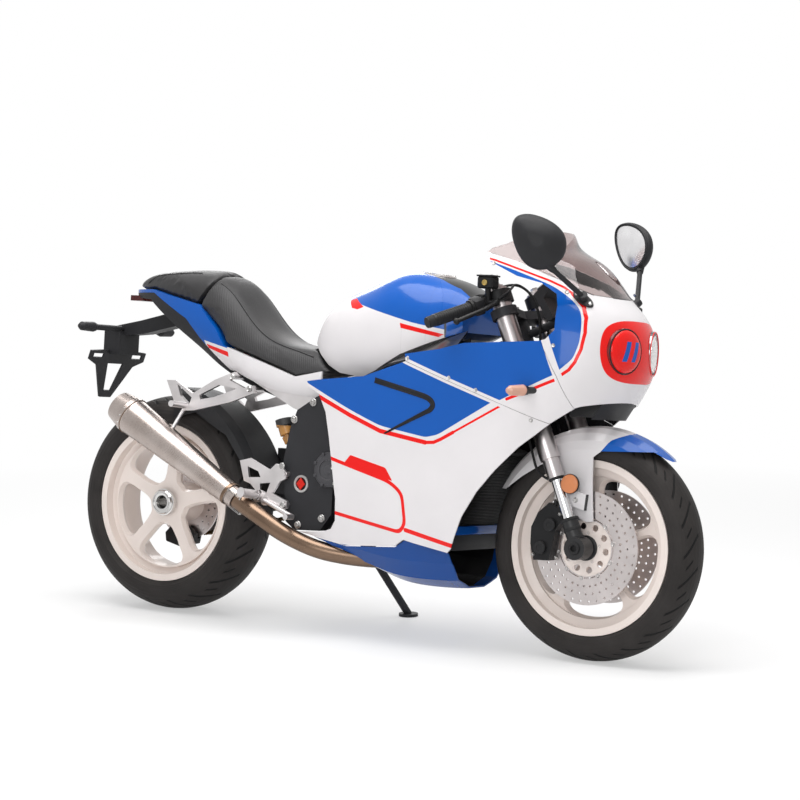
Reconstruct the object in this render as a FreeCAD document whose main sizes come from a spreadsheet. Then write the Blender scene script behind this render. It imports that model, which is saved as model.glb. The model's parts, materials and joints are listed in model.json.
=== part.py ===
import FreeCAD, Part
import Sketcher
import math
import os
from FreeCAD import Placement, Rotation, Vector

# Sport bike standing on its side stand.
# The bike frame used below has its origin on the ground under the rear axle: x forward, y left, z up.
# Every piece is drawn there with the bike upright, and its Placement leans it onto the side stand.

os.makedirs("parts", exist_ok=True)
doc = FreeCAD.newDocument("sport_bike")

# Driving dimensions, in millimetres and degrees
SIZES = {
    "wheelbase": 1400,
    "lean": 6,
    "rake": 23.5,
    "yoke_offset": 30,
    "fit_gap": 0.3,
    "running_gap": 0.05,
    "clearance": 5,
    # Tyres and rims
    "front_tyre_radius": 300,
    "front_tyre_width": 120,
    "rear_tyre_radius": 315,
    "rear_tyre_width": 180,
    "tyre_wall": 12,
    "bead_radius": 219,
    "flange_radius": 231,
    "flange_wall": 6,
    "well_radius": 196,
    "rim_wall": 7,
    "front_rim_width": 100,
    "rear_rim_width": 152,
    "spoke_count": 5,
    "spoke_bevel": 6,
    "front_hub_radius": 40,
    "front_hub_width": 96,
    "front_spoke_width": 27,
    "front_spoke_depth": 34,
    "rear_hub_radius": 58,
    "rear_spoke_width": 46,
    "rear_spoke_depth": 30,
    "rear_face_inset": 22,
    # Brakes
    "front_disc_radius": 150,
    "front_disc_inner": 80,
    "front_disc_wall": 5,
    "front_disc_y": 61,
    "disc_hole_radius": 3.2,
    "front_hole_rows": 3,
    "front_hole_count": 36,
    "rear_hole_count": 24,
    "bobbin_count": 10,
    "bobbin_radius": 8,
    "rear_disc_radius": 110,
    "rear_disc_inner": 60,
    "rear_disc_wall": 5,
    "rear_disc_y": 50,
    "caliper_gap": 3,
    # Axles and final drive
    "front_axle_radius": 12.5,
    "front_axle_half": 132,
    "axle_socket_radius": 8.5,
    "axle_socket_depth": 20,
    "rear_spindle_radius": 28,
    "rear_spindle_bore": 20,
    "rear_spindle_right": 62,
    "rear_spindle_left": 150,
    "spindle_nut_radius": 38,
    "spindle_nut_width": 14,
    "hub_carrier_radius": 66,
    "hub_carrier_inner": 66,
    "hub_carrier_width": 50,
    "sprocket_radius": 92,
    "sprocket_wall": 6,
    "chain_y": 130,
    "chain_width": 18,
    "chain_height": 16,
    "drive_sprocket_x": 612,
    "drive_sprocket_z": 400,
    "drive_sprocket_radius": 36,
    # Fork and bars
    "fork_spread": 105,
    "fork_outer_radius": 27,
    "fork_inner_radius": 16,
    "fork_collar_radius": 22,
    "fork_collar_length": 51,
    "fork_foot_length": 80,
    "fork_outer_low": 195,
    "fork_top": 725,
    "stem_radius": 15,
    "stem_bore": 10,
    "head_tube_radius": 32,
    "yoke_low": 470,
    "yoke_high": 645,
    "yoke_wall": 24,
    "clip_low": 684,
    "clip_height": 34,
    "bar_radius": 11,
    "grip_radius": 16.5,
    "grip_start": 92,
    "grip_length": 118,
    "bar_sweep": 29,
    "bar_droop": 20,
    "hose_radius": 3.5,
    # Fairing and bodywork
    "liner_gap": 2,
    "panel_wall": 4,
    "screen_wall": 3,
    "seam": 1,
    "hull_rear": 520,
    "hull_full_x": 1150,
    "hull_taper": 0.2,
    "cap_radius": 38,
    "cap_height": 12,
    "lamp_radius": 60,
    "lamp_reach": 1491,
    "lamp_spread": 82,
    "lamp_height": 816,
    "lamp_splay": 16,
    # Swingarm and suspension
    "pivot_x": 534,
    "pivot_z": 407,
    "pivot_radius": 22,
    "plate_inner": 104,
    "plate_wall": 34,
    "left_plate_wall": 12,
    "arm_inner": 96,
    "arm_width": 20,
    "shock_radius": 27,
    # Exhaust
    "pipe_radius": 25,
    "silencer_small": 30,
    "silencer_large": 53,
    # Side stand
    "stand_pivot_x": 600,
    "stand_pivot_y": 128,
    "stand_pivot_z": 208,
    "stand_foot_x": 655,
    "stand_foot_y": 268,
    "stand_pin_radius": 5,
    "stand_eye_radius": 15,
    "stand_eye_width": 14,
    "stand_leg_radius": 11,
}

sheet = doc.addObject("Spreadsheet::Sheet", "sizes")
for row, (alias, value) in enumerate(SIZES.items(), start=1):
    sheet.set(f"A{row}", alias)
    sheet.set(f"B{row}", str(value))
    sheet.setAlias(f"B{row}", alias)
doc.recompute()


def mm(alias):
    """Read one driving dimension from the sheet."""
    return float(sheet.get(alias))


PIECES = {}


def keep(name, feature):
    """Register a finished feature as the sub-part of that name."""
    feature.Label = name
    PIECES[name] = feature
    return feature


def shaped(name, shape):
    """Make a sub-part from a shape drawn in the bike frame."""
    feature = doc.addObject("Part::Feature", name)
    feature.Shape = shape
    return keep(name, feature)


# Parametric primitives and booleans, bound to the sheet by expressions

def bind(feature, expressions):
    for path, expression in expressions.items():
        feature.setExpression(path, expression)
    return feature


def sheet_bar(name, x, z, y_low, y_high, radius):
    """A round bar parallel to the axles, each size an expression of the sheet."""
    bar = doc.addObject("Part::Cylinder", name)
    bar.Placement = Placement(Vector(), Rotation(Vector(1, 0, 0), -90))
    return bind(bar, {
        "Radius": radius,
        "Height": f"({y_high}) - ({y_low})",
        "Placement.Base.x": x,
        "Placement.Base.y": y_low,
        "Placement.Base.z": z,
    })


def sheet_cut(name, base, tool):
    cut = doc.addObject("Part::Cut", name)
    cut.Base = base
    cut.Tool = tool
    return cut


def sheet_fuse(name, shapes):
    fuse = doc.addObject("Part::MultiFuse", name)
    fuse.Shapes = shapes
    return fuse


def section_sketch(body, name, plane, corners):
    """A closed outline on one of the body's planes, each corner held by two sheet expressions."""
    sketch = body.newObject("Sketcher::SketchObject", name)
    origin_plane = [item for item in body.Origin.OriginFeatures if item.Role == plane][0]
    sketch.AttachmentSupport = (origin_plane, [""])
    sketch.MapMode = "FlatFace"
    count = len(corners)
    places = [(value_of(across_text), value_of(up_text)) for across_text, up_text in corners]
    for index in range(count):
        start = Vector(*places[index], 0)
        end = Vector(*places[(index + 1) % count], 0)
        sketch.addGeometry(Part.LineSegment(start, end), False)
    for index in range(count):
        sketch.addConstraint(Sketcher.Constraint("Coincident", index, 2, (index + 1) % count, 1))
    for index, (across_text, up_text) in enumerate(corners):
        for kind, text, value in (("DistanceX", across_text, places[index][0]),
                                  ("DistanceY", up_text, places[index][1])):
            number = sketch.addConstraint(Sketcher.Constraint(kind, -1, 1, index, 1, value))
            sketch.setExpression(f"Constraints[{number}]", text)
    return sketch


def value_of(text):
    """The number that a sheet expression stands for at present."""
    return float(sheet.evalExpression(text))


def turned_body(name, corners, centre):
    """A body turned about an axle from a section of (y, radius) expressions, placed with its centre on that axle."""
    body = doc.addObject("PartDesign::Body", name)
    sketch = section_sketch(body, f"{name}_section", "YZ_Plane", corners)
    turn = body.newObject("PartDesign::Revolution", f"{name}_turn")
    turn.Profile = sketch
    turn.ReferenceAxis = (sketch, ["H_Axis"])
    turn.Angle = 360
    body.Tip = turn
    body.Placement = Placement(centre, Rotation())
    return body


# Shape helpers, all in the bike frame

def box(x_low, x_high, y_low, y_high, z_low, z_high):
    return Part.makeBox(x_high - x_low, y_high - y_low, z_high - z_low, Vector(x_low, y_low, z_low))


def rod(start, end, radius):
    """A round bar between two points."""
    start = Vector(*start)
    run = Vector(*end) - start
    return Part.makeCylinder(radius, run.Length, start, run)


def across(x, z, y_low, y_high, radius):
    """A round bar parallel to the axles."""
    return Part.makeCylinder(radius, y_high - y_low, Vector(x, y_low, z), Vector(0, 1, 0))


def side_face(outline, y):
    points = [Vector(x, y, z) for x, z in outline]
    return Part.Face(Part.makePolygon(points + points[:1]))


def side_prism(outline, y_low, y_high, holes=(), round_corners=0):
    """Extrude a closed side-view outline of (x, z) points across the bike, with its holes left open."""
    face = side_face(outline, y_low)
    if round_corners:
        face = face.makeOffset2D(-round_corners).makeOffset2D(round_corners)
    for hole in holes:
        face = face.cut(side_face(hole, y_low))
    return face.extrude(Vector(0, y_high - y_low, 0))


def mirrored(shape):
    """The same shape on the other side of the bike."""
    return shape.mirror(Vector(0, 0, 0), Vector(0, 1, 0))


def both_sides(shape):
    return shape.fuse(mirrored(shape))


def fused(shapes):
    first, *others = shapes
    return first.multiFuse(others).removeSplitter() if others else first


def revolved(profile, x, z):
    """Turn a closed profile of (y, radius) points about an axle at x, z."""
    points = [Vector(x, y, z + radius) for y, radius in profile]
    face = Part.Face(Part.makePolygon(points + points[:1]))
    return face.revolve(Vector(x, 0, z), Vector(0, 1, 0), 360)


def turned(start, way, profile):
    """Turn a closed profile of (distance, radius) points about a line from start along way."""
    points = [Vector(radius, 0, distance) for distance, radius in profile]
    face = Part.Face(Part.makePolygon(points + points[:1]))
    solid = face.revolve(Vector(0, 0, 0), Vector(0, 0, 1), 360)
    solid.Placement = Placement(Vector(*start), Rotation(Vector(0, 0, 1), Vector(*way)))
    return solid


def ring_holes(x, z, y_low, y_high, pitch_radius, count, radius, turn=0):
    """Round bars parallel to the axles, evenly spaced on a circle."""
    bars = []
    for index in range(int(count)):
        angle = math.radians(turn) + 2 * math.pi * index / count
        bars.append(across(x + pitch_radius * math.cos(angle), z + pitch_radius * math.sin(angle), y_low,
                           y_high, radius))
    return bars


def oval_wire(x, y_mid, half_width, z_low, z_high, power, steps=16):
    """A closed cross-section at x: an ellipse at power 2, boxier as the power grows."""
    points = []
    for step in range(steps):
        angle = 2 * math.pi * step / steps
        side = math.copysign(abs(math.cos(angle)) ** (2 / power), math.cos(angle))
        rise = math.copysign(abs(math.sin(angle)) ** (2 / power), math.sin(angle))
        y = y_mid + half_width * side
        z = (z_low + z_high) / 2 + (z_high - z_low) / 2 * rise
        points.append(Vector(x, y, z))
    curve = Part.BSplineCurve()
    curve.interpolate(points, PeriodicFlag=True)
    return Part.Wire(curve.toShape())


def body_loft(stations, power=2.4):
    """Loft through (x, half_width, z_low, z_high) stations on the centre plane."""
    wires = [oval_wire(x, 0, half, low, high, power) for x, half, low, high in stations]
    return Part.makeLoft(wires, True, False)


def strip(stations, wall):
    """A thin strip lofted through (x, y_inner, z_inner, y_outer, z_outer) stations."""
    wires = []
    for x, y_in, z_in, y_out, z_out in stations:
        corners = [Vector(x, y_in, z_in), Vector(x, y_out, z_out), Vector(x, y_out, z_out - wall),
                   Vector(x, y_in, z_in - wall)]
        wires.append(Part.makePolygon(corners + corners[:1]))
    return Part.makeLoft(wires, True, True)


def bent_tube(points, radius):
    """A tube through points: straight runs joined by tangent arcs."""
    knots = [Vector(*point) for point in points]
    edges = []
    start = knots[0]
    for before, corner, after in zip(knots, knots[1:], knots[2:]):
        back = (before - corner)
        ahead = (after - corner)
        trim = 0.45 * min(back.Length, ahead.Length)
        back.normalize()
        ahead.normalize()
        first = corner + back * trim
        last = corner + ahead * trim
        half_turn = (math.pi - back.getAngle(ahead)) / 2
        reach = trim * math.tan(math.pi / 2 - half_turn)
        middle_way = (back + ahead)
        middle_way.normalize()
        centre_distance = reach / math.cos(half_turn)
        middle = corner + middle_way * (centre_distance - reach)
        edges.append(Part.LineSegment(start, first).toShape())
        edges.append(Part.Arc(first, middle, last).toShape())
        start = last
    edges.append(Part.LineSegment(start, knots[-1]).toShape())
    path = Part.Wire(edges)
    run = knots[1] - knots[0]
    ring = Part.Wire(Part.makeCircle(radius, knots[0], run))
    return path.makePipeShell([ring], True, False)


# Steering geometry: the steering axis leans back by the rake and passes behind the front axle
RAKE = math.radians(mm("rake"))
FRONT_AXLE = Vector(mm("wheelbase"), 0, mm("front_tyre_radius"))
REAR_AXLE = Vector(0, 0, mm("rear_tyre_radius"))
UP_THE_FORK = Vector(-math.sin(RAKE), 0, math.cos(RAKE))
AHEAD_OF_FORK = Vector(math.cos(RAKE), 0, math.sin(RAKE))
STEER_BASE = FRONT_AXLE - AHEAD_OF_FORK * mm("yoke_offset")


def on_fork(along, ahead=0, y=0):
    """A point given by its distance up the fork from axle height, ahead of the steering axis, and y."""
    return STEER_BASE + UP_THE_FORK * along + AHEAD_OF_FORK * ahead + Vector(0, y, 0)


def on_leg(along, side, out=0, ahead=0):
    """A point beside the middle of a fork leg."""
    return on_fork(along, mm("yoke_offset") + ahead, side * (mm("fork_spread") + out))


# Tyres

def tyre(x, radius, width, rim_width):
    """An open tyre carcass: crown and side walls outside, bead seats inside."""
    half = width / 2
    bead_half = rim_width / 2 - mm("flange_wall") / 2
    bead = mm("bead_radius") + mm("fit_gap")
    wall = mm("tyre_wall")
    section_height = radius - bead
    outside = []
    for step in range(9):
        angle = math.pi * step / 16
        y = half * math.sin(angle)
        crown = bead + section_height * 0.42
        outside.append((y, crown + (radius - crown) * math.cos(angle)))
    shoulder = [
        (half * 0.985, bead + section_height * 0.27),
        (bead_half + mm("flange_wall") + 1, mm("flange_radius") + 3),
        (bead_half, mm("flange_radius") + 1),
        (bead_half, bead),
        (bead_half - wall, bead),
        (half - wall, bead + section_height * 0.35),
    ]
    inside = [(y * (half - wall) / half, r - wall) for y, r in reversed(outside[:7])]
    right = outside + shoulder + inside
    left = [(-y, r) for y, r in reversed(right)]
    profile = right[:-1] + [(0, radius - wall)] + left[1:-1]
    return revolved(profile, x, radius)


# Rims

def rim_corners(rim_width):
    """The hoop of a wheel as (y, radius) sheet expressions: two flanges, bead seats and a drop well."""
    half = f"sizes.{rim_width} / 2"
    right = [
        ("0", "sizes.well_radius"),
        (f"{half} * 0.45", "sizes.well_radius"),
        (f"{half} * 0.62", "sizes.bead_radius"),
        (f"{half} - sizes.flange_wall / 2", "sizes.bead_radius"),
        (f"{half} - sizes.flange_wall / 2", "sizes.flange_radius"),
        (f"{half} + sizes.flange_wall / 2", "sizes.flange_radius"),
        (f"{half} + sizes.flange_wall / 2", "sizes.bead_radius - sizes.rim_wall"),
        (f"{half} * 0.66", "sizes.bead_radius - sizes.rim_wall"),
        (f"{half} * 0.5", "sizes.well_radius - sizes.rim_wall"),
        ("0", "sizes.well_radius - sizes.rim_wall"),
    ]
    left = [(f"-({y})", r) for y, r in reversed(right[1:-1])]
    return right + left


def window_wire(inner, outer, spoke_width, y, grow, x, z, turn):
    """The rounded opening between two spokes, grown by a bevel at the faces of the wheel."""
    steps = 24
    squareness = 4.5
    middle = (inner + outer) / 2
    reach = (outer - inner) / 2 + grow
    points = []
    for step in range(steps):
        angle = 2 * math.pi * step / steps
        radius = middle + reach * math.copysign(abs(math.sin(angle)) ** (2 / squareness), math.sin(angle))
        half_angle = math.pi / mm("spoke_count") - (spoke_width / 2 - grow) / radius
        swing = half_angle * math.copysign(abs(math.cos(angle)) ** (2 / squareness), math.cos(angle))
        bearing = math.radians(turn) + swing
        points.append(Vector(x + radius * math.cos(bearing), y, z + radius * math.sin(bearing)))
    curve = Part.BSplineCurve()
    curve.interpolate(points, PeriodicFlag=True)
    return Part.Wire(curve.toShape())


def spoked_face(x, z, inner, outer, spoke_width, y_low, y_high, turn):
    """A plate from hub to hoop with one rounded, bevelled opening between each pair of spokes."""
    plate = across(x, z, y_low, y_high, mm("well_radius") - mm("rim_wall") / 2)
    bevel = mm("spoke_bevel")
    middle = (y_low + y_high) / 2
    windows = []
    for index in range(int(mm("spoke_count"))):
        bearing = turn + 360 * (index + 0.5) / mm("spoke_count")
        levels = ((y_low - 1, bevel), (middle, 0), (y_high + 1, bevel))
        wires = [window_wire(inner, outer, spoke_width, y, grow, x, z, bearing) for y, grow in levels]
        windows.append(Part.makeLoft(wires, True, True))
    return plate.cut(windows)


def build_front_wheel():
    x = FRONT_AXLE.x
    z = FRONT_AXLE.z
    half_hub = mm("front_hub_width") / 2
    barrel = turned_body("front_barrel", rim_corners("front_rim_width"), FRONT_AXLE)
    doc.recompute()
    hub = across(x, z, -half_hub, half_hub, mm("front_hub_radius"))
    depth = mm("front_spoke_depth")
    inner = mm("front_hub_radius") + 8
    outer = mm("well_radius") - mm("rim_wall") - 6
    face = spoked_face(x, z, inner, outer, mm("front_spoke_width"), -depth / 2, depth / 2, 20)
    wheel = fused([barrel.Shape, hub, face])
    bore = across(x, z, -half_hub - 1, half_hub + 1, mm("front_axle_radius") + mm("running_gap"))
    shaped("front_rim", wheel.cut(bore))
    shaped("front_tyre", tyre(x, mm("front_tyre_radius"), mm("front_tyre_width"), mm("front_rim_width")))
    shaped("front_discs", Part.makeCompound([front_disc(side) for side in (-1, 1)]))


def front_disc(side):
    """One front brake disc: a drilled ring, its bobbins, and the carrier bolted to the hub."""
    x = FRONT_AXLE.x
    z = FRONT_AXLE.z
    middle = side * mm("front_disc_y")
    half_wall = mm("front_disc_wall") / 2
    low = middle - half_wall
    high = middle + half_wall
    inner = across(x, z, low - 1, high + 1, mm("front_disc_inner"))
    ring = across(x, z, low, high, mm("front_disc_radius")).cut(inner)
    holes = []
    rows = int(mm("front_hole_rows"))
    for index in range(rows):
        pitch = mm("front_disc_inner") + 20 + (mm("front_disc_radius") - mm("front_disc_inner") - 30) * index / (rows - 1)
        turn = 360 / mm("front_hole_count") * index / rows
        holes += ring_holes(x, z, low - 1, high + 1, pitch, mm("front_hole_count"), mm("disc_hole_radius"),
                            turn)
    ring = ring.cut(holes)
    pitch = mm("front_disc_inner")
    bobbins = ring_holes(x, z, low - 1, high + 1, pitch, mm("bobbin_count"), mm("bobbin_radius"), 12)
    hub_face = side * mm("front_hub_width") / 2
    carrier = across(x, z, low, high, mm("front_disc_inner") - 3)
    gap = 360 / mm("bobbin_count")
    windows = ring_holes(x, z, low - 1, high + 1, pitch - 22, mm("bobbin_count"), mm("bobbin_radius") + 1,
                         12 + gap / 2)
    boss = across(x, z, min(hub_face, middle), max(hub_face, middle), mm("front_hub_radius") + 6)
    disc = fused([ring, carrier.cut(windows), boss] + bobbins)
    return disc.cut(across(x, z, -mm("front_axle_half"), mm("front_axle_half"), mm("front_hub_radius") - 8))


def build_rear_wheel():
    x = REAR_AXLE.x
    z = REAR_AXLE.z
    barrel = turned_body("rear_barrel", rim_corners("rear_rim_width"), REAR_AXLE)
    doc.recompute()
    face_high = -mm("rear_rim_width") / 2 + mm("rear_face_inset") + mm("rear_spoke_depth")
    face_low = face_high - mm("rear_spoke_depth")
    hub_left = mm("rear_disc_y") - mm("rear_disc_wall") / 2
    hub = across(x, z, face_low, hub_left, mm("rear_hub_radius"))
    inner = mm("rear_hub_radius") + 10
    outer = mm("well_radius") - mm("rim_wall") - 6
    face = spoked_face(x, z, inner, outer, mm("rear_spoke_width"), face_low, face_high, 12)
    wheel = fused([barrel.Shape, hub, face])
    shaped("rear_rim", wheel.cut(across(x, z, face_low - 1, hub_left + 1, mm("rear_spindle_radius"))))
    shaped("rear_tyre", tyre(x, mm("rear_tyre_radius"), mm("rear_tyre_width"), mm("rear_rim_width")))
    disc_low = mm("rear_disc_y") - mm("rear_disc_wall") / 2
    disc_high = disc_low + mm("rear_disc_wall")
    disc = across(x, z, disc_low, disc_high, mm("rear_disc_radius"))
    holes = [across(x, z, disc_low - 1, disc_high + 1, mm("rear_spindle_radius"))]
    for row, share in enumerate((0.35, 0.75)):
        pitch = mm("rear_disc_inner") + (mm("rear_disc_radius") - mm("rear_disc_inner")) * share
        turn = 180 / mm("rear_hole_count") * row
        holes += ring_holes(x, z, disc_low - 1, disc_high + 1, pitch, mm("rear_hole_count"),
                            mm("disc_hole_radius"), turn)
    shaped("rear_disc", disc.cut(holes))
    keep("rear_sprocket", turned_body("rear_sprocket", [
        ("sizes.chain_y - sizes.sprocket_wall / 2", "sizes.rear_spindle_radius"),
        ("sizes.chain_y + sizes.sprocket_wall / 2", "sizes.rear_spindle_radius"),
        ("sizes.chain_y + sizes.sprocket_wall / 2", "sizes.sprocket_radius"),
        ("sizes.chain_y - sizes.sprocket_wall / 2", "sizes.sprocket_radius"),
    ], REAR_AXLE))
    keep("rear_spindle", turned_body("rear_spindle", [
        ("-sizes.rear_spindle_right - sizes.spindle_nut_width", "sizes.rear_spindle_bore"),
        ("sizes.rear_spindle_left", "sizes.rear_spindle_bore"),
        ("sizes.rear_spindle_left", "sizes.rear_spindle_radius"),
        ("-sizes.rear_spindle_right", "sizes.rear_spindle_radius"),
        ("-sizes.rear_spindle_right", "sizes.spindle_nut_radius"),
        ("-sizes.rear_spindle_right - sizes.spindle_nut_width + 3", "sizes.spindle_nut_radius"),
        ("-sizes.rear_spindle_right - sizes.spindle_nut_width", "sizes.spindle_nut_radius - 3"),
    ], REAR_AXLE))


# Fork, yokes, axle and bars

def build_fork():
    legs = []
    for side in (-1, 1):
        low = mm("fork_outer_low")
        step = low + mm("fork_collar_length")
        inner = rod(on_leg(0, side), on_leg(low + 10, side), mm("fork_inner_radius"))
        outer = rod(on_leg(step, side), on_leg(mm("fork_top"), side), mm("fork_outer_radius"))
        collar = rod(on_leg(low, side), on_leg(step + 1, side), mm("fork_collar_radius"))
        cap = rod(on_leg(mm("fork_top"), side), on_leg(mm("fork_top") + 8, side), mm("fork_outer_radius") - 8)
        foot = rod(on_leg(-6, side), on_leg(mm("fork_foot_length"), side), mm("fork_inner_radius") + 6)
        axle_ring = across(FRONT_AXLE.x, FRONT_AXLE.z, side * mm("fork_spread") - 25,
                           side * mm("fork_spread") + 25, 30)
        leg = fused([inner, outer, collar, cap, foot, axle_ring])
        bore = across(FRONT_AXLE.x, FRONT_AXLE.z, side * mm("fork_spread") - 50,
                      side * mm("fork_spread") + 50,
                      mm("front_axle_radius"))
        legs.append(leg.cut(bore))
    shaped("fork_legs", Part.makeCompound(legs))
    axle = sheet_bar("axle_bar", "sizes.wheelbase", "sizes.front_tyre_radius", "-sizes.front_axle_half",
                     "sizes.front_axle_half",
                     "sizes.front_axle_radius")
    socket = sheet_bar("axle_socket", "sizes.wheelbase", "sizes.front_tyre_radius",
                       "-sizes.front_axle_half - 1",
                       "-sizes.front_axle_half + sizes.axle_socket_depth", "sizes.axle_socket_radius")
    keep("front_axle", sheet_cut("front_axle", axle, socket))


def fork_slab(along, thickness, outline):
    """A plate square to the steering axis, from an outline of (ahead, y) points."""
    points = [on_fork(along, ahead, y) for ahead, y in outline]
    face = Part.Face(Part.makePolygon(points + points[:1]))
    return face.extrude(UP_THE_FORK * thickness)


def build_yokes():
    spread = mm("fork_spread")
    lug = mm("fork_outer_radius") + 9
    ahead = mm("yoke_offset")
    slabs = []
    for along in (mm("yoke_low"), mm("yoke_high")):
        bridge = fork_slab(along, mm("yoke_wall"), [
            (-24, -spread * 0.4),
            (-24, spread * 0.4),
            (ahead - lug * 0.7, spread),
            (ahead + lug * 0.7, spread),
            (ahead + 4, 0),
            (ahead + lug * 0.7, -spread),
            (ahead - lug * 0.7, -spread),
        ])
        slab = [bridge]
        holes = []
        for side in (-1, 1):
            slab.append(rod(on_leg(along, side), on_leg(along + mm("yoke_wall"), side), lug))
            holes.append(rod(on_leg(along - 5, side), on_leg(along + mm("yoke_wall") + 5, side),
                             mm("fork_outer_radius")))
        slabs.append(fused(slab).cut(holes))
    stem_low = mm("yoke_low")
    stem_high = mm("yoke_high") + mm("yoke_wall") + 10
    stem = rod(on_fork(stem_low), on_fork(stem_high), mm("stem_radius"))
    stem_bore = rod(on_fork(stem_low - 1), on_fork(stem_high + 1), mm("stem_bore"))
    shaped("fork_yokes", fused(slabs + [stem]).cut(stem_bore))


def bar_way(side):
    """The way a handlebar points: outwards, back by the sweep and down by the droop."""
    sweep = math.radians(mm("bar_sweep"))
    droop = math.radians(mm("bar_droop"))
    return Vector(-math.sin(sweep) * math.cos(droop), side * math.cos(sweep) * math.cos(droop),
                  -math.sin(droop))


def bar_point(side, out, up=0, ahead=0):
    """A point along a handlebar, measured out from the fork leg."""
    root = on_leg(mm("clip_low") + mm("clip_height") / 2, side)
    return root + bar_way(side) * out + Vector(ahead, 0, up)


def build_bars():
    grip_start = mm("grip_start")
    grip_end = grip_start + mm("grip_length")
    grip = mm("grip_radius")
    bar = mm("bar_radius")
    barrel_profile = [(0, 0), (0, bar), (38, bar), (38, 17), (54, 17), (54, bar), (58, bar), (58, 20),
                      (grip_start - 2, 20),
                      (grip_start, grip + 5), (grip_start + 4, grip + 5), (grip_start + 4, grip),
                      (grip_end, grip),
                      (grip_end + 2, grip - 2), (grip_end + 20, grip - 2), (grip_end + 20, 0)]
    for side, name in ((-1, "handlebar_right"), (1, "handlebar_left")):
        clamp_low = on_leg(mm("clip_low"), side)
        clamp = turned(clamp_low, UP_THE_FORK, [
            (0, mm("fork_outer_radius")), (0, mm("fork_outer_radius") + 8),
            (mm("clip_height"), mm("fork_outer_radius") + 8),
            (mm("clip_height"), mm("fork_outer_radius"))])
        barrel = turned(bar_point(side, 0), bar_way(side), barrel_profile)
        leg_hole = rod(on_leg(mm("clip_low") - 25, side), on_leg(mm("clip_low") + mm("clip_height") + 25,
                                                                 side),
                       mm("fork_outer_radius"))
        lever_root = bar_point(side, 48, 2, 34)
        lever_bend = bar_point(side, 92, 0, 48)
        lever_tip = bar_point(side, 196, -4, 58)
        pivot = rod(bar_point(side, 46), lever_root, 9)
        knuckle = Part.makeSphere(10, lever_root)
        bend = Part.makeSphere(7, lever_bend)
        pieces = [clamp, barrel.cut(leg_hole), pivot, knuckle, rod(lever_root, lever_bend, 6.5), bend,
                  rod(lever_bend, lever_tip, 6), Part.makeSphere(9, lever_tip)]
        if side < 0:
            stalk = rod(bar_point(side, 48, 4, 10), bar_point(side, 58, 50, 16), 8)
            reservoir = Part.makeBox(46, 40, 32, bar_point(side, 58, 42, 16) + Vector(-23, -20, 0))
            pieces += [stalk, reservoir.makeChamfer(4, reservoir.Edges)]
        shaped(name, fused(pieces))


def caliper_port(side):
    """Where the hose meets the top of a front caliper."""
    return Vector(FRONT_AXLE.x - 84, side * 86, FRONT_AXLE.z + 120)


def build_front_brake():
    """Radial calipers behind the discs, each cut clear of its disc, its leg and the rim."""
    x = FRONT_AXLE.x
    z = FRONT_AXLE.z
    calipers = []
    outline = [(-150, 44), (-132, 84), (-100, 112), (-62, 96), (-58, 70), (-78, 40), (-84, 0), (-92, -40),
               (-138, -42), (-150, 0)]
    for side in (-1, 1):
        y_disc = side * mm("front_disc_y")
        y_in = y_disc - side * 22
        y_out = y_disc + side * 34
        block = side_prism([(x + along, z + up) for along, up in outline], min(y_in, y_out), max(y_in, y_out))
        slot_half = mm("front_disc_wall") / 2 + mm("caliper_gap")
        slot = across(x, z, y_disc - slot_half, y_disc + slot_half, mm("front_disc_radius") + mm("clearance"))
        rim_room = across(x, z, y_in - 60, y_in + 60, mm("well_radius") - mm("rim_wall") - mm("clearance"))
        leg_room = rod(on_leg(-20, side), on_leg(200, side), mm("fork_inner_radius") + 6 + mm("fit_gap"))
        pistons = [across(x - 118 + 26 * step, z - 8 + 62 * step, min(y_out, y_out + side * 7),
                          max(y_out, y_out + side * 7), 17)
                   for step in (0, 1)]
        port = rod(caliper_port(side) - Vector(2, 0, 20), caliper_port(side), 6)
        caliper = fused([block.common(rim_room), port] + pistons).cut([slot, leg_room])
        calipers.append(caliper)
    shaped("front_calipers", Part.makeCompound(calipers))


def build_hoses():
    """Brake hoses held behind the fork legs, from the lower yoke down to each caliper."""
    hoses = []
    for side in (-1, 1):
        hoses.append(bent_tube([
            on_leg(mm("yoke_low") - 4, side, -8, -38),
            on_leg(400, side, -12, -46),
            on_leg(310, side, -16, -52),
            on_leg(230, side, -20, -60),
            caliper_port(side) + Vector(-8, 0, 44),
            caliper_port(side) + Vector(-1, 0, 18),
            caliper_port(side) + Vector(0, 0, mm("fit_gap")),
        ], mm("hose_radius")))
    shaped("brake_hoses", Part.makeCompound(hoses))


def build_front_fender():
    x = FRONT_AXLE.x
    z = FRONT_AXLE.z
    outer = mm("front_tyre_radius") + 20
    half = mm("front_tyre_width") / 2 + 13
    wall = mm("panel_wall")

    def crown(inset):
        arch = []
        for step in range(-4, 5):
            swing = math.pi / 2 * step / 4
            arch.append(((half - inset) * math.sin(swing), outer - 62 + (62 - inset) * math.cos(swing)))
        return arch

    outside = revolved(crown(0) + [(half, 55), (-half, 55)], x, z)
    inside = revolved(crown(wall) + [(half - wall, 45), (-half + wall, 45)], x, z)
    skin = outside.cut(inside)
    side_view = [(x + ahead, z + up) for ahead, up in (
        (-250, 137), (-200, 174), (-139, 211), (-89, 187), (-43, 83), (2, 68), (20, 71), (12, 170), (10, 238),
        (33, 255),
        (100, 258), (168, 261), (210, 239), (300, 299), (150, 399), (-320, 399), (-330, 137))]
    tube_face = mm("fork_spread") - mm("fork_inner_radius") - mm("fit_gap")
    bracket = side_prism([(x - 62, z + 115), (x, z + 98), (x + 4, z + 140), (x - 64, z + 155)],
                         half - wall / 2, tube_face)
    shaped("front_fender", fused([skin.common(side_prism(side_view, -half - 5, half + 5)), bracket,
                                  mirrored(bracket)]))


build_front_wheel()
build_rear_wheel()
build_fork()
build_yokes()
build_bars()
build_front_brake()
build_hoses()
build_front_fender()

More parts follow.
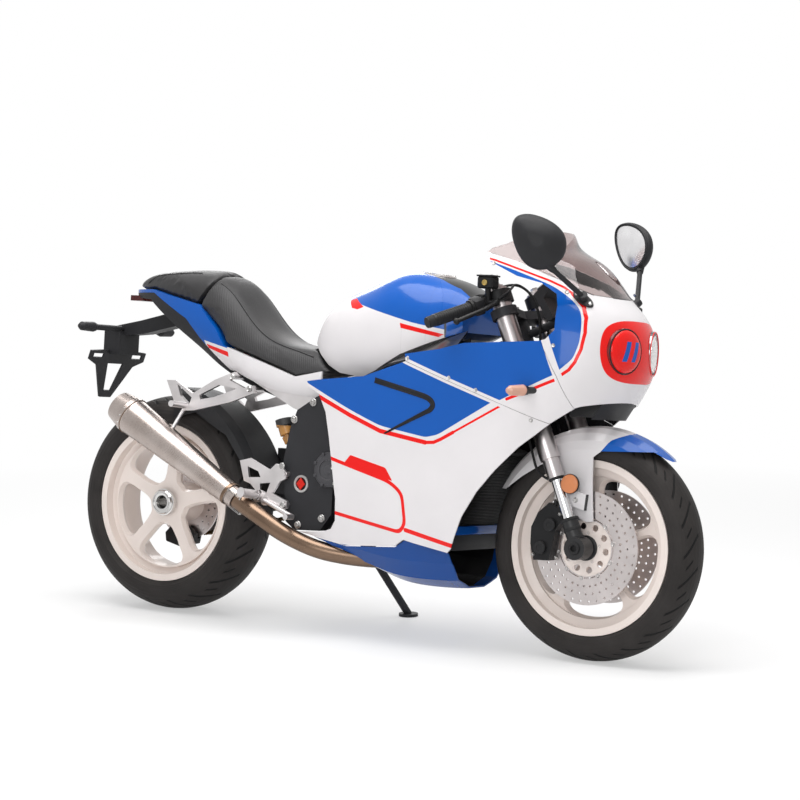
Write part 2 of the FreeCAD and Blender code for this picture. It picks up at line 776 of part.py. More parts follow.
# Fairing hull: one smooth skin from the side fairings to the screen, drawn as level slices.
# Each slice has its height, nose position, half width and the bluntness of its nose.
HULL_SLICES = (
    (225, 1300, 160, 0.0018),
    (270, 1310, 180, 0.0018),
    (330, 1325, 193, 0.0018),
    (430, 1350, 201, 0.0018),
    (540, 1385, 205, 0.0018),
    (640, 1440, 209, 0.0018),
    (711, 1483, 212, 0.00178),
    (760, 1503, 213, 0.00175),
    (811, 1507, 212, 0.00175),
    (854, 1502, 208, 0.00175),
    (905, 1479, 200, 0.0018),
    (949, 1438, 187, 0.00184),
    (1002, 1395, 171, 0.0020),
    (1053, 1340, 153, 0.0025),
    (1098, 1272, 130, 0.0030),
    (1135, 1205, 100, 0.0040),
)


def hull_line(z, nose_x, half_width, bluntness, inset):
    """A level line round the nose: a superellipse ahead of the full-width station, a gentle taper behind."""
    full_x = mm("hull_full_x")
    length = nose_x - full_x
    power = length / (bluntness * half_width ** 2)
    half = half_width - inset
    reach = length - inset
    side = []
    rear = mm("hull_rear")
    for step in range(4):
        x = rear + (full_x - rear) * step / 4
        narrowing = mm("hull_taper") * ((full_x - x) / (full_x - rear)) ** 2
        side.append(Vector(x, half * (1 - narrowing), z))
    for step in range(12):
        angle = math.pi / 2 * step / 12
        x = full_x + reach * math.sin(angle) ** (2 / power)
        side.append(Vector(x, half * math.cos(angle), z))
    left = side + [Vector(full_x + reach, 0, z)]
    right = [Vector(point.x, -point.y, z) for point in reversed(side)]
    curve = Part.BSplineCurve()
    curve.interpolate(left + right)
    return curve


def hull_skin(outset, wall, low=0, high=None):
    """A skin of that wall, its outer face an outset inside the hull, through the slices between low and high."""
    wires = []
    for row in HULL_SLICES[low:high]:
        outer = hull_line(*row, outset)
        inner = hull_line(*row, outset + wall)
        left = Part.LineSegment(inner.StartPoint, outer.StartPoint).toShape()
        right = Part.LineSegment(outer.EndPoint, inner.EndPoint).toShape()
        inner.reverse()
        wires.append(Part.Wire([outer.toShape(), right, inner.toShape(), left]))
    return Part.makeLoft(wires, True, False)


def hull_solid(inset):
    """Everything inside the hull, kept that far within its outer face."""
    wires = []
    for row in HULL_SLICES:
        line = hull_line(*row, inset)
        back = Part.LineSegment(line.EndPoint, line.StartPoint).toShape()
        wires.append(Part.Wire([line.toShape(), back]))
    return Part.makeLoft(wires, True, False)


HULL_SHELL = hull_skin(0, mm("panel_wall"))
HULL_OUTER = hull_solid(-mm("fit_gap"))
HULL_INNER = hull_solid(mm("panel_wall") + mm("fit_gap"))
SCREEN_SHELL = hull_skin(0, mm("screen_wall"))
WIDE = 400


def hull_panel(shell, outline):
    return shell.common(side_prism(outline, -WIDE, WIDE))


NOSE = [(1322, 837), (1344, 862), (1340, 925), (1329, 956), (1283, 983), (1207, 1000), (1117, 1037),
        (1108, 1060),
        (1202, 1037), (1324, 993), (1403, 957), (1470, 948), (1560, 940), (1560, 700), (1516, 702),
        (1472, 685), (1404, 668),
        (1393, 663), (1358, 744), (1308, 833)]
COWL_SIDE = [(896, 782), (1005, 799), (1081, 818), (1307, 832), (1357, 743), (1392, 662), (1335, 620),
             (1204, 663), (1026, 720),
             (900, 763)]
SCREEN = [(1100, 1062), (1108, 1061), (1202, 1038), (1324, 994), (1403, 958), (1470, 949), (1560, 941),
          (1560, 1127),
          (1242, 1127), (1206, 1112), (1150, 1086), (1112, 1074)]
SIDE_FAIRING = [(605, 660), (631, 612), (646, 545), (661, 463), (676, 377), (675, 316), (659, 292),
                (629, 282), (541, 275),
                (704, 250), (873, 262), (905, 283), (1041, 257), (1056, 271), (1093, 359), (1138, 429),
                (1189, 488),
                (1254, 553), (1290, 582), (1334, 619), (1204, 662), (1026, 719), (899, 762), (760, 716),
                (600, 700),
                (560, 694), (566, 682)]
LAMP_SPLAY = math.radians(mm("lamp_splay"))


def lamp_axis(side):
    """The middle of a headlamp's face and the way it points."""
    way = Vector(math.cos(LAMP_SPLAY), side * math.sin(LAMP_SPLAY), 0)
    return Vector(mm("lamp_reach"), side * mm("lamp_spread"), mm("lamp_height")), way


def build_fairings():
    lamp_holes = []
    for side in (-1, 1):
        centre, way = lamp_axis(side)
        lamp_holes.append(Part.makeCylinder(mm("lamp_radius") + mm("fit_gap"), 200, centre - way * 100, way))
    shaped("nose_fairing", hull_panel(HULL_SHELL, NOSE).cut(lamp_holes))
    shaped("cowl_side_panels", hull_panel(HULL_SHELL, COWL_SIDE))
    shaped("windscreen", hull_panel(SCREEN_SHELL, SCREEN))
    sides = hull_panel(HULL_SHELL, SIDE_FAIRING)
    shaped("side_fairing_right", sides.common(box(0, 2000, -WIDE, 0, 0, 1500)))
    shaped("side_fairing_left", sides.common(box(0, 2000, 0, WIDE, 0, 1500)))


# Belly pan: cross-sections along the bike, each with its station, bottom height and half width
BELLY = ((541, 214, 146), (660, 199, 158), (767, 186, 166), (830, 166, 170), (900, 156, 170),
         (1000, 156, 158), (1086, 166, 138))
BELLY_TOP = 285
ENGINE_LOW = 258


def belly_section(x, bottom, half_width, inset):
    half = half_width - inset
    low = bottom + inset
    top = BELLY_TOP
    taper = (x - BELLY[0][0]) / (BELLY[-1][0] - BELLY[0][0])
    right = [Vector(x, half, top), Vector(x, half * (0.96 - 0.04 * taper), low + (top - low) * 0.55),
             Vector(x, half * (0.8 - 0.12 * taper), low + (top - low) * 0.18),
             Vector(x, half * (0.5 - 0.25 * taper), low)]
    left = [Vector(p.x, -p.y, p.z) for p in reversed(right)]
    return Part.makePolygon(right + left + right[:1])


PIPE_ROUTE = [(976, -40, 540), (976, -40, 430), (950, -44, 310), (880, -58, 232), (790, -80, 216),
              (700, -112, 216),
              (610, -148, 228), (512, -168, 262), (420, -182, 312), (352, -188, 350)]
STAND_PIVOT = Vector(mm("stand_pivot_x"), mm("stand_pivot_y"), mm("stand_pivot_z"))


def build_belly():
    outer = Part.makeLoft([belly_section(*row, 0) for row in BELLY], True, False)
    inner = Part.makeLoft([belly_section(*row, mm("panel_wall")) for row in BELLY], True, False)
    outline = [(541, 140), (541, 273), (704, 248), (873, 260), (905, 281), (1030, 256), (1040, 224),
               (1040, 170), (1032, 140)]
    pan = outer.cut(inner).common(side_prism(outline, -WIDE, WIDE))
    pipe_room = bent_tube(PIPE_ROUTE, mm("pipe_radius") + mm("clearance"))
    stand_room = box(520, 700, 70, WIDE, 140, 300)
    pan = pan.cut([pipe_room, stand_room])
    post = box(840, 868, 56, 84, 140, ENGINE_LOW).common(inner)
    shaped("belly_pan", max(fused([pan, post]).Solids, key=lambda solid: solid.Volume))


build_fairings()
build_belly()


# Tank and cockpit trim

TANK_STATIONS = (
    (496, 46, 752, 812),
    (505, 56, 738, 846),
    (524, 70, 716, 884),
    (572, 94, 690, 924),
    (636, 118, 672, 953),
    (708, 138, 662, 981),
    (770, 148, 660, 1006),
    (832, 151, 660, 1012),
    (900, 147, 680, 1000),
    (960, 134, 720, 983),
    (1014, 112, 780, 956),
)
TANK_UNDERSIDE = [(440, 810), (496, 810), (530, 772), (566, 742), (612, 722), (704, 713), (722, 717),
                  (841, 781), (945, 822),
                  (1020, 850)]
TANK_FRONT = [(888, 1040), (900, 1002), (946, 950), (966, 890), (972, 800), (972, 700)]
ROOF = 1060


def tank_loft(grow):
    return body_loft([(x, half + grow, low - grow, high + grow) for x, half, low, high in TANK_STATIONS], 2.5)


def build_tank():
    tank = tank_loft(0).common(side_prism(TANK_UNDERSIDE + [(1020, ROOF), (440, ROOF)], -WIDE, WIDE))
    behind = side_prism(TANK_FRONT + [(440, 700), (440, ROOF), (880, ROOF)], -WIDE, WIDE)
    ahead = side_prism([(x + mm("fit_gap"), z) for x, z in TANK_FRONT] + [(1100, 700), (1100, ROOF)], -WIDE,
                       WIDE)
    cap_seat = Vector(858, 0, 993)
    tilt = Rotation(Vector(0, 1, 0), 5)
    cap = doc.addObject("Part::Cylinder", "cap_disc")
    bind(cap, {"Radius": "sizes.cap_radius", "Height": "sizes.cap_height"})
    cap.Placement = Placement(cap_seat, tilt)
    hinge = doc.addObject("Part::Box", "cap_hinge")
    bind(hinge, {"Length": "sizes.cap_radius / 3", "Width": "sizes.cap_radius * 0.7", "Height": "5"})
    hinge.Placement = Placement(cap_seat + tilt.multVec(Vector(mm("cap_radius") * 0.6,
                                                               -mm("cap_radius") * 0.35,
                                                               mm("cap_height") - 1)), tilt)
    keep("filler_cap", sheet_fuse("filler_cap", [cap, hinge]))
    room = Part.makeCylinder(mm("cap_radius") + mm("fit_gap"), 60,
                             cap_seat - tilt.multVec(Vector(0, 0, mm("fit_gap"))),
                             tilt.multVec(Vector(0, 0, 1)))
    shaped("fuel_tank", tank.common(behind).cut(room))
    build_cockpit_trim(tank.common(ahead))


def build_cockpit_trim(cover):
    """The dark cover ahead of the tank, and the strips that close the gap from the tank to the fairing."""
    tank_room = tank_loft(mm("fit_gap"))
    sides = []
    for side in (-1, 1):
        run = strip([
            (716, side * 120, 716, side * 200, 694),
            (841, side * 130, 776, side * 210, 750),
            (945, side * 130, 816, side * 220, 772),
            (1052, side * 146, 852, side * 220, 792),
        ], 5)
        sides.append(run.common(HULL_INNER).cut(tank_room))
    shaped("cockpit_trim", Part.makeCompound([cover] + [max(run.Solids, key=lambda solid: solid.Volume)
                                                        for run in sides]))


# Seat and tail: one envelope split by side-view lines into pads, panels and tray

TAIL_STATIONS = (
    (-184, 16, 915, 950),
    (-160, 38, 900, 966),
    (-120, 62, 876, 980),
    (-60, 86, 842, 990),
    (20, 106, 798, 996),
    (100, 118, 756, 999),
    (160, 124, 718, 994),
    (190, 126, 700, 982),
    (216, 127, 690, 962),
    (244, 127, 680, 930),
    (280, 127, 668, 886),
    (326, 126, 654, 840),
    (390, 124, 636, 806),
    (460, 120, 620, 792),
    (530, 116, 606, 786),
    (590, 112, 600, 780),
)
PAD_SEAM = [(-200, 938), (-79, 938), (122, 897), (137, 884), (196, 829), (226, 782), (476, 704), (583, 727),
            (620, 745)]
TRAY_SEAM = [(-200, 928), (-71, 928), (79, 854), (134, 799), (238, 714), (263, 708), (464, 611), (484, 610),
             (566, 654),
             (620, 700)]
TRAY_BELOW = [(-200, 915), (-87, 908), (30, 830), (134, 766), (229, 702), (300, 668), (440, 596), (484, 594),
              (620, 660)]
PAD_SPLIT = [(128, 850), (121, 898), (150, 950), (186, 1040)]
PANEL_SPLIT = [(262, 690), (240, 778), (236, 800)]
PANEL_FRONT = 566


def band(low_line, high_line):
    """The space between two side-view lines, kept half a seam clear of each."""
    half_seam = mm("fit_gap") / 2
    low = [(x, z + half_seam) for x, z in low_line]
    high = [(x, z - half_seam) for x, z in reversed(high_line)]
    return side_prism(low + high, -WIDE, WIDE)


def split(shape, line):
    """Part a shape along a steep side-view line, into what lies behind it and what lies ahead."""
    half_seam = mm("fit_gap") / 2
    line = [(line[0][0], 0)] + line + [(line[-1][0], ROOF)]
    rear = side_prism([(x - half_seam, z) for x, z in line] + [(-WIDE, ROOF), (-WIDE, 0)], -WIDE, WIDE)
    fore = side_prism([(x + half_seam, z) for x, z in line] + [(1000, ROOF), (1000, 0)], -WIDE, WIDE)
    return shape.common(rear), shape.common(fore)


def build_tail_body():
    envelope = body_loft(TAIL_STATIONS, 2.7)
    roof_line = [(-200, ROOF), (620, ROOF)]
    pad, seat = split(envelope.common(band(PAD_SEAM, roof_line)), PAD_SPLIT)
    shaped("pillion_pad", pad)
    tank_room = tank_loft(2 * mm("fit_gap"))
    seat = seat.cut([tank_room, side_prism([(566, 742), (530, 772), (496, 810), (496, ROOF), (640, ROOF),
                                            (640, 700)], -WIDE, WIDE)])
    shaped("rider_seat", max(seat.Solids, key=lambda solid: solid.Volume))
    middle = envelope.common(band(TRAY_SEAM, PAD_SEAM))
    cowl, panels = split(middle, PANEL_SPLIT)
    shaped("tail_cowl", cowl)
    hollow = mm("plate_inner") + mm("panel_wall")
    panels = panels.cut([box(200, 700, -hollow, hollow, 560, 900), box(PANEL_FRONT, 700, -WIDE, WIDE, 560,
                                                                       900)])
    shaped("seat_panels", panels)
    tray = envelope.common(band(TRAY_BELOW, TRAY_SEAM)).cut(box(484, 700, -WIDE, WIDE, 500, 900))
    gap = mm("fit_gap")
    lamp_low, lamp_high = Vector(-196, -36, 904), Vector(-150, 36, 920)
    lamp_room = box(lamp_low.x, lamp_high.x + gap, lamp_low.y - gap, lamp_high.y + gap, lamp_low.z - gap,
                    lamp_high.z + gap)
    shaped("undertray", tray.cut(lamp_room))
    shaped("tail_lamp", box(lamp_low.x, lamp_high.x, lamp_low.y, lamp_high.y, lamp_low.z, lamp_high.z))


build_tank()
build_tail_body()


# Frame, engine and running gear
def lock_room(low, high):
    """The space that the fork legs sweep near each end of the steering's travel."""
    rods = []
    for side in (-1, 1):
        for turn in (0, 9, 18, 24, 29):
            leg = rod(on_leg(low, side), on_leg(high, side), mm("fork_outer_radius") + mm("clearance"))
            leg.rotate(STEER_BASE, UP_THE_FORK, side * turn)
            rods.append(leg)
    return rods


def build_chassis():
    head_low = mm("yoke_low") + mm("yoke_wall") + mm("fit_gap")
    head_high = mm("yoke_high") - mm("fit_gap")
    head = rod(on_fork(head_low), on_fork(head_high), mm("head_tube_radius"))
    head_bore = rod(on_fork(head_low - 5), on_fork(head_high + 5), mm("stem_radius") + mm("running_gap"))
    inner = mm("plate_inner")
    outline = [(507, 612), (570, 652), (640, 682), (690, 688), (695, TANK_SEAT), (714, TANK_SEAT), (720, 694),
               (760, 702),
               (1000, 772), (1090, 790), (1100, 742), (1010, 690), (800, 640), (690, 600), (640, 520),
               (640, 330), (604, 281),
               (519, 277), (487, 299), (477, 400), (469, 469), (486, 560)]
    right_plate = side_prism(outline, -inner - mm("plate_wall"), -inner)
    left_plate = side_prism(outline, inner, inner + mm("left_plate_wall"))
    neck = side_prism([(1153, 744), (1115, 830), (1040, 800), (1030, 745), (1080, 735)], -inner - 2,
                      inner + 2)
    yoke_room = rod(on_fork(mm("yoke_low") - 60), on_fork(head_low - mm("fit_gap") + mm("clearance")),
                    mm("fork_spread") + 42)
    sweep = [yoke_room] + lock_room(430, mm("fork_top"))
    shock_bar = across(*SHOCK_BAR, -inner - 2, inner + 2, 14)
    stay = rod(on_fork(603, 20), Vector(1250, 0, 893), 11)
    stubs = across(740, 664, -WIDE, WIDE, 9).common(HULL_INNER)
    pivot_hole = across(mm("pivot_x"), mm("pivot_z"), -200, 200, mm("pivot_radius"))
    shaft_hole = across(mm("drive_sprocket_x"), mm("drive_sprocket_z"), inner - 5, 200, 16 + mm("clearance"))
    stand_lug = box(586, 626, inner - 4, mm("stand_pivot_y") - 2, 198, 290)
    stand_pin = Part.makeCylinder(mm("stand_pin_radius"), mm("stand_eye_width") + 30,
                                  STAND_PIVOT - STAND_AXIS * 26, STAND_AXIS)
    stand_room = Part.makeCylinder(60, 80, STAND_PIVOT - STAND_AXIS * mm("fit_gap"), STAND_AXIS)
    frame = fused([right_plate.cut(sweep), left_plate.cut(sweep), neck.cut(sweep), stubs, shock_bar,
                   stand_lug.cut(stand_room),
                   head])
    frame = fused([frame.cut([head_bore, pivot_hole, shaft_hole]), stay.cut(head_bore), stand_pin])
    shaped("main_frame", frame)
    crankcase = doc.addObject("Part::Extrusion", "crankcase")
    crankcase.Base = doc.addObject("Part::Feature", "crankcase_outline")
    crankcase.Base.Shape = side_face([(590, 286), (650, 262), (840, ENGINE_LOW), (890, ENGINE_LOW),
                                      (946, 310), (940, 470),
                                      (985, 620), (860, 625), (790, 520), (650, 510), (596, 440)], 0)
    crankcase.Dir = Vector(0, 1, 0)
    crankcase.Solid = True
    crankcase.Symmetric = True
    bind(crankcase, {"LengthFwd": "2 * (sizes.plate_inner - sizes.clearance)"})
    clutch = sheet_bar("clutch_cover", "sizes.drive_sprocket_x + 100", "450", "-158", "-90", "72")
    clutch_rib = sheet_bar("clutch_rib", "sizes.drive_sprocket_x + 100", "450", "-164", "-150", "46")
    generator = sheet_bar("generator_cover", "860", "390", "90", "150", "66")
    shaft = sheet_bar("drive_shaft", "sizes.drive_sprocket_x", "sizes.drive_sprocket_z", "90",
                      "sizes.chain_y + sizes.chain_width / 2 + 4", "15")
    sprocket = sheet_bar("drive_sprocket", "sizes.drive_sprocket_x", "sizes.drive_sprocket_z",
                         "sizes.chain_y - sizes.sprocket_wall / 2", "sizes.chain_y + sizes.sprocket_wall / 2",
                         "sizes.drive_sprocket_radius - sizes.chain_height / 2 - sizes.fit_gap")
    keep("engine", sheet_fuse("engine", [crankcase, clutch, clutch_rib, generator, shaft, sprocket]))
    shaped("radiator", side_prism([(1010, 330), (1040, 325), (1096, 530), (1068, 540)], -148, 148))
    rail = side_prism([(500, 606), (566, 650), (560, 700), (480, 696), (300, 748), (252, 762), (264, 716),
                       (300, 696), (468, 616)],
                      inner - 24, inner)
    shaped("subframe", Part.makeCompound([rail, mirrored(rail)]))


TANK_SEAT = 712.7
SHOCK_BAR = (588, 646)
STAND_AXIS = Vector(-0.2, 1, 0.5)
STAND_AXIS.normalize()


def build_rear():
    z = mm("rear_tyre_radius")
    inner = mm("arm_inner")
    outer = inner + mm("arm_width")
    arm = side_prism([(-30, 372), (40, 380), (260, 440), (430, 470), (495, 448), (495, 380), (380, 330),
                      (60, 262), (-30, 262)],
                     inner, outer, round_corners=10)
    carrier = across(0, z, mm("hub_carrier_inner"), mm("hub_carrier_inner") + mm("hub_carrier_width"),
                     mm("hub_carrier_radius"))
    cross = side_prism([(392, 372), (392, CROSS_TOP), (495, CROSS_TOP), (495, 372)], -inner, inner + 2,
                       round_corners=8)
    link = side_prism([(480, 385), (480, 430), (540, 429), (540, 386)], -inner, inner + 6)
    plate_inner = mm("plate_inner")
    pivot_x = mm("pivot_x")
    pivot_z = mm("pivot_z")
    boss = across(pivot_x, pivot_z, -plate_inner + mm("fit_gap"), plate_inner - mm("fit_gap"),
                  mm("pivot_radius") + 14)
    pin = across(pivot_x, pivot_z, -plate_inner - mm("plate_wall") + 2, plate_inner + mm("left_plate_wall"),
                 mm("pivot_radius") - mm("fit_gap"))
    bore = across(0, z, 0, 200, mm("rear_spindle_radius") + mm("running_gap"))
    plate_room = box(460, 700, plate_inner - mm("fit_gap"), 200, 200, 600)
    arm = arm.cut(plate_room)
    shaped("swingarm", fused([arm, carrier, cross, link, boss, pin]).cut(bore))
    tab = box(296, 326, 74, inner, 444, 494)
    fore = side_prism([(40, z + 250), (40, z + 420), (200, z + 420), (470, z + 240), (350, z + 120),
                       (292, z + 130), (230, z + 210),
                       (120, z + 270)], -150, 80)
    shaped("rear_hugger", fused([hoop_shell(z + 28, 100, mm("panel_wall")).common(fore), tab]))
    build_shock()
    y_disc = mm("rear_disc_y")
    block = side_prism([(-62, z - 122), (-66, z - 96), (-40, z - 70), (18, z - 70), (44, z - 92),
                        (38, z - 122), (-10, z - 134)],
                       y_disc - 24, y_disc + 12, round_corners=6)
    bracket = box(-22, 22, y_disc + 10, mm("hub_carrier_inner"), z - 116, z - 50)
    slot_half = mm("rear_disc_wall") / 2 + mm("caliper_gap")
    slot = across(0, z, y_disc - slot_half, y_disc + slot_half, mm("rear_disc_radius") + mm("clearance"))
    shaped("rear_caliper", fused([block, bracket]).cut(slot))
    half_chain = mm("chain_width") / 2
    shaped("drive_chain", chain_loop(mm("chain_y") - half_chain, mm("chain_y") + half_chain))


CROSS_TOP = 448


def build_shock():
    """A spring and damper from the swingarm's cross member up to the bar between the frame plates."""
    eye = 15
    foot = Vector(440, 0, CROSS_TOP + eye + mm("fit_gap"))
    bar = Vector(SHOCK_BAR[0], 0, SHOCK_BAR[1])
    way = bar - foot
    length = way.Length - 14 - mm("fit_gap")
    way.normalize()
    coils = [(0, 0), (0, 12), (28, 12), (28, mm("shock_radius")), (length - 40, mm("shock_radius")),
             (length - 40, 14),
             (length, 14), (length, 0)]
    shaped("rear_shock", fused([across(foot.x, foot.z, -18, 18, eye), turned(foot, way, coils)]))


def chain_loop(y_low, y_high):
    """A closed band round both sprockets."""
    half_height = mm("chain_height") / 2
    outer = loop_prism(mm("sprocket_radius") + half_height, mm("drive_sprocket_radius") + half_height, y_low,
                       y_high)
    inner = loop_prism(mm("sprocket_radius") + mm("fit_gap"), mm("drive_sprocket_radius") - half_height,
                       y_low - 1, y_high + 1)
    return outer.cut(inner)


def loop_prism(rear_radius, front_radius, y_low, y_high):
    rear = Vector(0, y_low, mm("rear_tyre_radius"))
    front = Vector(mm("drive_sprocket_x"), y_low, mm("drive_sprocket_z"))
    run = front - rear
    tilt = math.asin((rear_radius - front_radius) / run.Length)
    slope = math.atan2(run.z, run.x)
    shapes = [Part.makeCylinder(rear_radius, y_high - y_low, rear, Vector(0, 1, 0)),
              Part.makeCylinder(front_radius, y_high - y_low, front, Vector(0, 1, 0))]
    corners = []
    for turn in (1, -1):
        angle = slope + turn * (math.pi / 2 - tilt)
        way = Vector(math.cos(angle), 0, math.sin(angle))
        corners.append((rear + way * rear_radius, front + way * front_radius))
    (rear_top, front_top), (rear_low, front_low) = corners
    face = Part.Face(Part.makePolygon([rear_top, front_top, front_low, rear_low, rear_top]))
    shapes.append(face.extrude(Vector(0, y_high - y_low, 0)))
    return fused(shapes)


def hoop_shell(radius, half_width, wall):
    """A guard over the rear tyre: an arched section turned about the rear axle."""
    outside = revolved([(-half_width, radius - 44), (-half_width * 0.86, radius - 14),
                        (-half_width * 0.6, radius),
                        (half_width * 0.6, radius), (half_width * 0.86, radius - 14),
                        (half_width, radius - 44),
                        (half_width, 200), (-half_width, 200)], 0, mm("rear_tyre_radius"))
    inner_half = half_width - wall
    inner_radius = radius - wall
    inside = revolved([(-inner_half, radius - 45), (-half_width * 0.86 + wall, inner_radius - 14),
                       (-half_width * 0.6, inner_radius), (half_width * 0.6, inner_radius),
                       (half_width * 0.86 - wall, inner_radius - 14), (inner_half, radius - 45),
                       (inner_half, 190),
                       (-inner_half, 190)], 0, mm("rear_tyre_radius"))
    return outside.cut(inside)


def build_exhaust():
    doc.recompute()
    shaped("exhaust_pipe", bent_tube(PIPE_ROUTE, mm("pipe_radius")).cut(PIECES["engine"].Shape))
    way = SILENCER_END - Vector(*PIPE_ROUTE[-1])
    length = way.Length
    way.normalize()
    start = Vector(*PIPE_ROUTE[-1]) + way * mm("fit_gap")
    small = mm("silencer_small")
    large = mm("silencer_large")
    can = turned(start, way, [
        (0, 0), (0, small), (26, small), (30, small + 3), (length - 20, large), (length - 14, large + 1.5),
        (length - 2, large + 1.5),
        (length, large), (length + 44, large - 9), (length + 44, large - 19), (length + 4, large - 19),
        (length + 4, 0)])
    shaped("silencer", can.cut(PIECES["exhaust_pipe"].Shape))


SILENCER_END = Vector(-44, -198, 570)


def build_controls():
    plate_outline = [(332, 459), (368, 468), (437, 439), (458, 458), (474, 455), (497, 434), (493, 418),
                     (475, 410), (452, 375),
                     (502, 356), (503, 336), (482, 332), (449, 343), (410, 347), (390, 345), (384, 361),
                     (397, 375), (373, 396),
                     (350, 403)]
    windows = [[(360, 445), (398, 433), (407, 417), (366, 414)], [(406, 399), (442, 404), (430, 373),
                                                                  (408, 381)]]
    seat_y = mm("plate_inner") + mm("plate_wall")
    doc.recompute()
    mounts = {-1: (seat_y, ((488, 431), (492, 345))), 1: (mm("plate_inner") + mm("left_plate_wall"),
                                                          ((484, 411), (492, 354)))}
    for side, name in ((-1, "rearset_right"), (1, "rearset_left")):
        near = side * (seat_y + 12)
        far = side * (seat_y + 20)
        plate = side_prism(plate_outline, min(near, far), max(near, far), windows)
        pieces = [plate]
        plate_face, bolts = mounts[side]
        for x, z in bolts:
            ends = (side * plate_face, side * (seat_y + 26))
            pieces.append(across(x, z, min(ends), max(ends), 7))
        peg_start = Vector(404, side * (seat_y + 14), 366)
        peg_end = Vector(396, side * (seat_y + 96), 374)
        pieces.append(rod(peg_start, peg_end, 10.5))
        pieces.append(rod(peg_start, peg_start + (peg_end - peg_start) * 0.2, 15))
        pieces.append(rod(peg_end - (peg_end - peg_start) * 0.05, peg_end, 14))
        pedal_start = Vector(428, side * (seat_y + 24), 352)
        pedal_end = Vector(540, side * (seat_y + 44), 316)
        pieces.append(rod(pedal_start - Vector(0, side * 10, 0), pedal_start, 13))
        pieces.append(rod(pedal_start, pedal_end, 7))
        pieces.append(rod(pedal_end, pedal_end + Vector(0, side * 34, 0), 8))
        shaped(name, fused(pieces))
    outline = [(40, 674), (72, 675), (136, 639), (213, 682), (260, 700), (283, 708), (292, 699), (267, 684),
               (320, 664), (342, 670),
               (350, 672), (357, 652), (272, 621), (142, 591), (110, 589), (100, 612), (77, 601)]
    tray = PIECES["undertray"].Shape
    strap = rod((104, -134, 592), (92, -176, 526), 6).cut(turned_silencer_room())
    gaps = [[(80, 664), (134, 628), (126, 606), (92, 632)], [(160, 636), (229, 668), (296, 661), (214, 633),
                                                             (166, 624)]]
    rests = []
    for side in (-1, 1):
        ends = (side * 128, side * 140)
        frame = side_prism(outline, min(ends), max(ends), gaps)
        bolts = [across(x, z, min(side * 60, side * 142), max(side * 60, side * 142), 7).cut(tray) for x,
                 z in ((277, 694), (338, 662))]
        bolts = [max(bolt.Solids, key=lambda solid: solid.CenterOfMass.y * side) for bolt in bolts]
        peg = rod((112, side * 134, 604), (118, side * 214, 608), 9)
        rests.append(fused([frame, peg] + bolts + ([strap] if side < 0 else [])))
    shaped("pillion_rests", Part.makeCompound(rests))
    foot = Vector(470, -122, 520)
    bottle_foot = Vector(466, -122, 541)
    bottle = rod(bottle_foot, bottle_foot + Vector(-10, 0, 24), 20)
    lid = rod(bottle_foot + Vector(-10, 0, 24), bottle_foot + Vector(-16, 0, 42), 24)
    bracket = side_prism([(462, 512), (500, 540), (500, 560), (480, 556), (450, 530)], -124, -105)
    pieces = fused([bottle, lid, bracket, rod(foot, bottle_foot, 8)]).cut(PIECES["main_frame"].Shape)
    shaped("brake_reservoir", max(pieces.Solids, key=lambda solid: solid.Volume))


def turned_silencer_room():
    """The silencer's body grown by a hair, for what is strapped to it."""
    start = Vector(*PIPE_ROUTE[-1])
    way = SILENCER_END - start
    length = way.Length
    gap = mm("fit_gap")
    return turned(start, way, [(0, 0), (0, mm("silencer_small") + gap), (30, mm("silencer_small") + 3 + gap),
                               (length, mm("silencer_large") + 1.5 + gap), (length, 0)])


LINER_PADS = ((1180, 760), (1290, 720), (1150, 700))
CHIN_HALF = 95


def build_front():
    lamps = []
    for side in (-1, 1):
        centre, way = lamp_axis(side)
        bowl = turned(centre - way * 70, way, [(0, 0), (0, 26), (24, 48), (40, mm("lamp_radius")),
                                               (70, mm("lamp_radius")),
                                               (70, mm("lamp_radius") - 5), (62, mm("lamp_radius") - 8),
                                               (62, 0)])
        lamps.append(bowl)
    shaped("headlamps", Part.makeCompound(lamps))
    panel = side_prism([(1200, 958), (1238, 998), (1252, 992), (1230, 950), (1264, 898), (1246, 888)], -64,
                       64)
    shaped("instrument_panel", panel.cut(PIECES["main_frame"].Shape))
    build_mirrors()
    inset = mm("panel_wall") + mm("liner_gap")
    liner = hull_skin(inset, mm("panel_wall"))
    chin = liner.common(side_prism([(1380, 636), (1460, 636), (1540, 720), (1380, 720)], -CHIN_HALF,
                                   CHIN_HALF))
    cockpit = liner.common(side_prism([(1080, 790), (1110, 700), (1290, 660), (1330, 700), (1312, 828),
                                       (1200, 812)], -WIDE, WIDE))
    under_pads = hull_solid(inset + 1)
    pads = [across(x, z, -WIDE, WIDE, 9).common(HULL_INNER).cut(under_pads) for x, z in LINER_PADS]
    pads.append(box(1400, 1560, -15, 15, 704, 716).common(HULL_INNER).cut(under_pads))
    liners = fused(chin.Solids + cockpit.Solids + pads)
    shaped("nose_liner", Part.makeCompound([solid for solid in liners.Solids if solid.Volume > 5000]))
    lights = []
    for side in (-1, 1):
        stalk = rod((1300, side * 200, 704), (1280, side * 230, 702), 9)
        lens = turned((1286, side * 222, 703), (-34, side * 66, -4),
                      [(0, 0), (0, 12), (14, 15), (52, 13), (61, 7), (64, 0)])
        lights.append(fused([stalk, lens]).cut(HULL_OUTER))
    shaped("front_indicators", Part.makeCompound(lights))


# Mirrors: sections of a head (depth, half length, half width) from its rim to the middle of its back
MIRROR_TURN = 66
MIRROR_TAPER = 0.26
MIRROR_SECTIONS = ((-8, 76, 57), (0, 80, 61), (12, 76, 57), (24, 63, 46), (34, 42, 30), (40, 16, 11))
MIRROR_FOOT = Vector(1392, 140, 940)
MIRROR_HEADS = ((-1, Vector(1311, -259, 1088)), (1, Vector(1317, 259, 1116)))


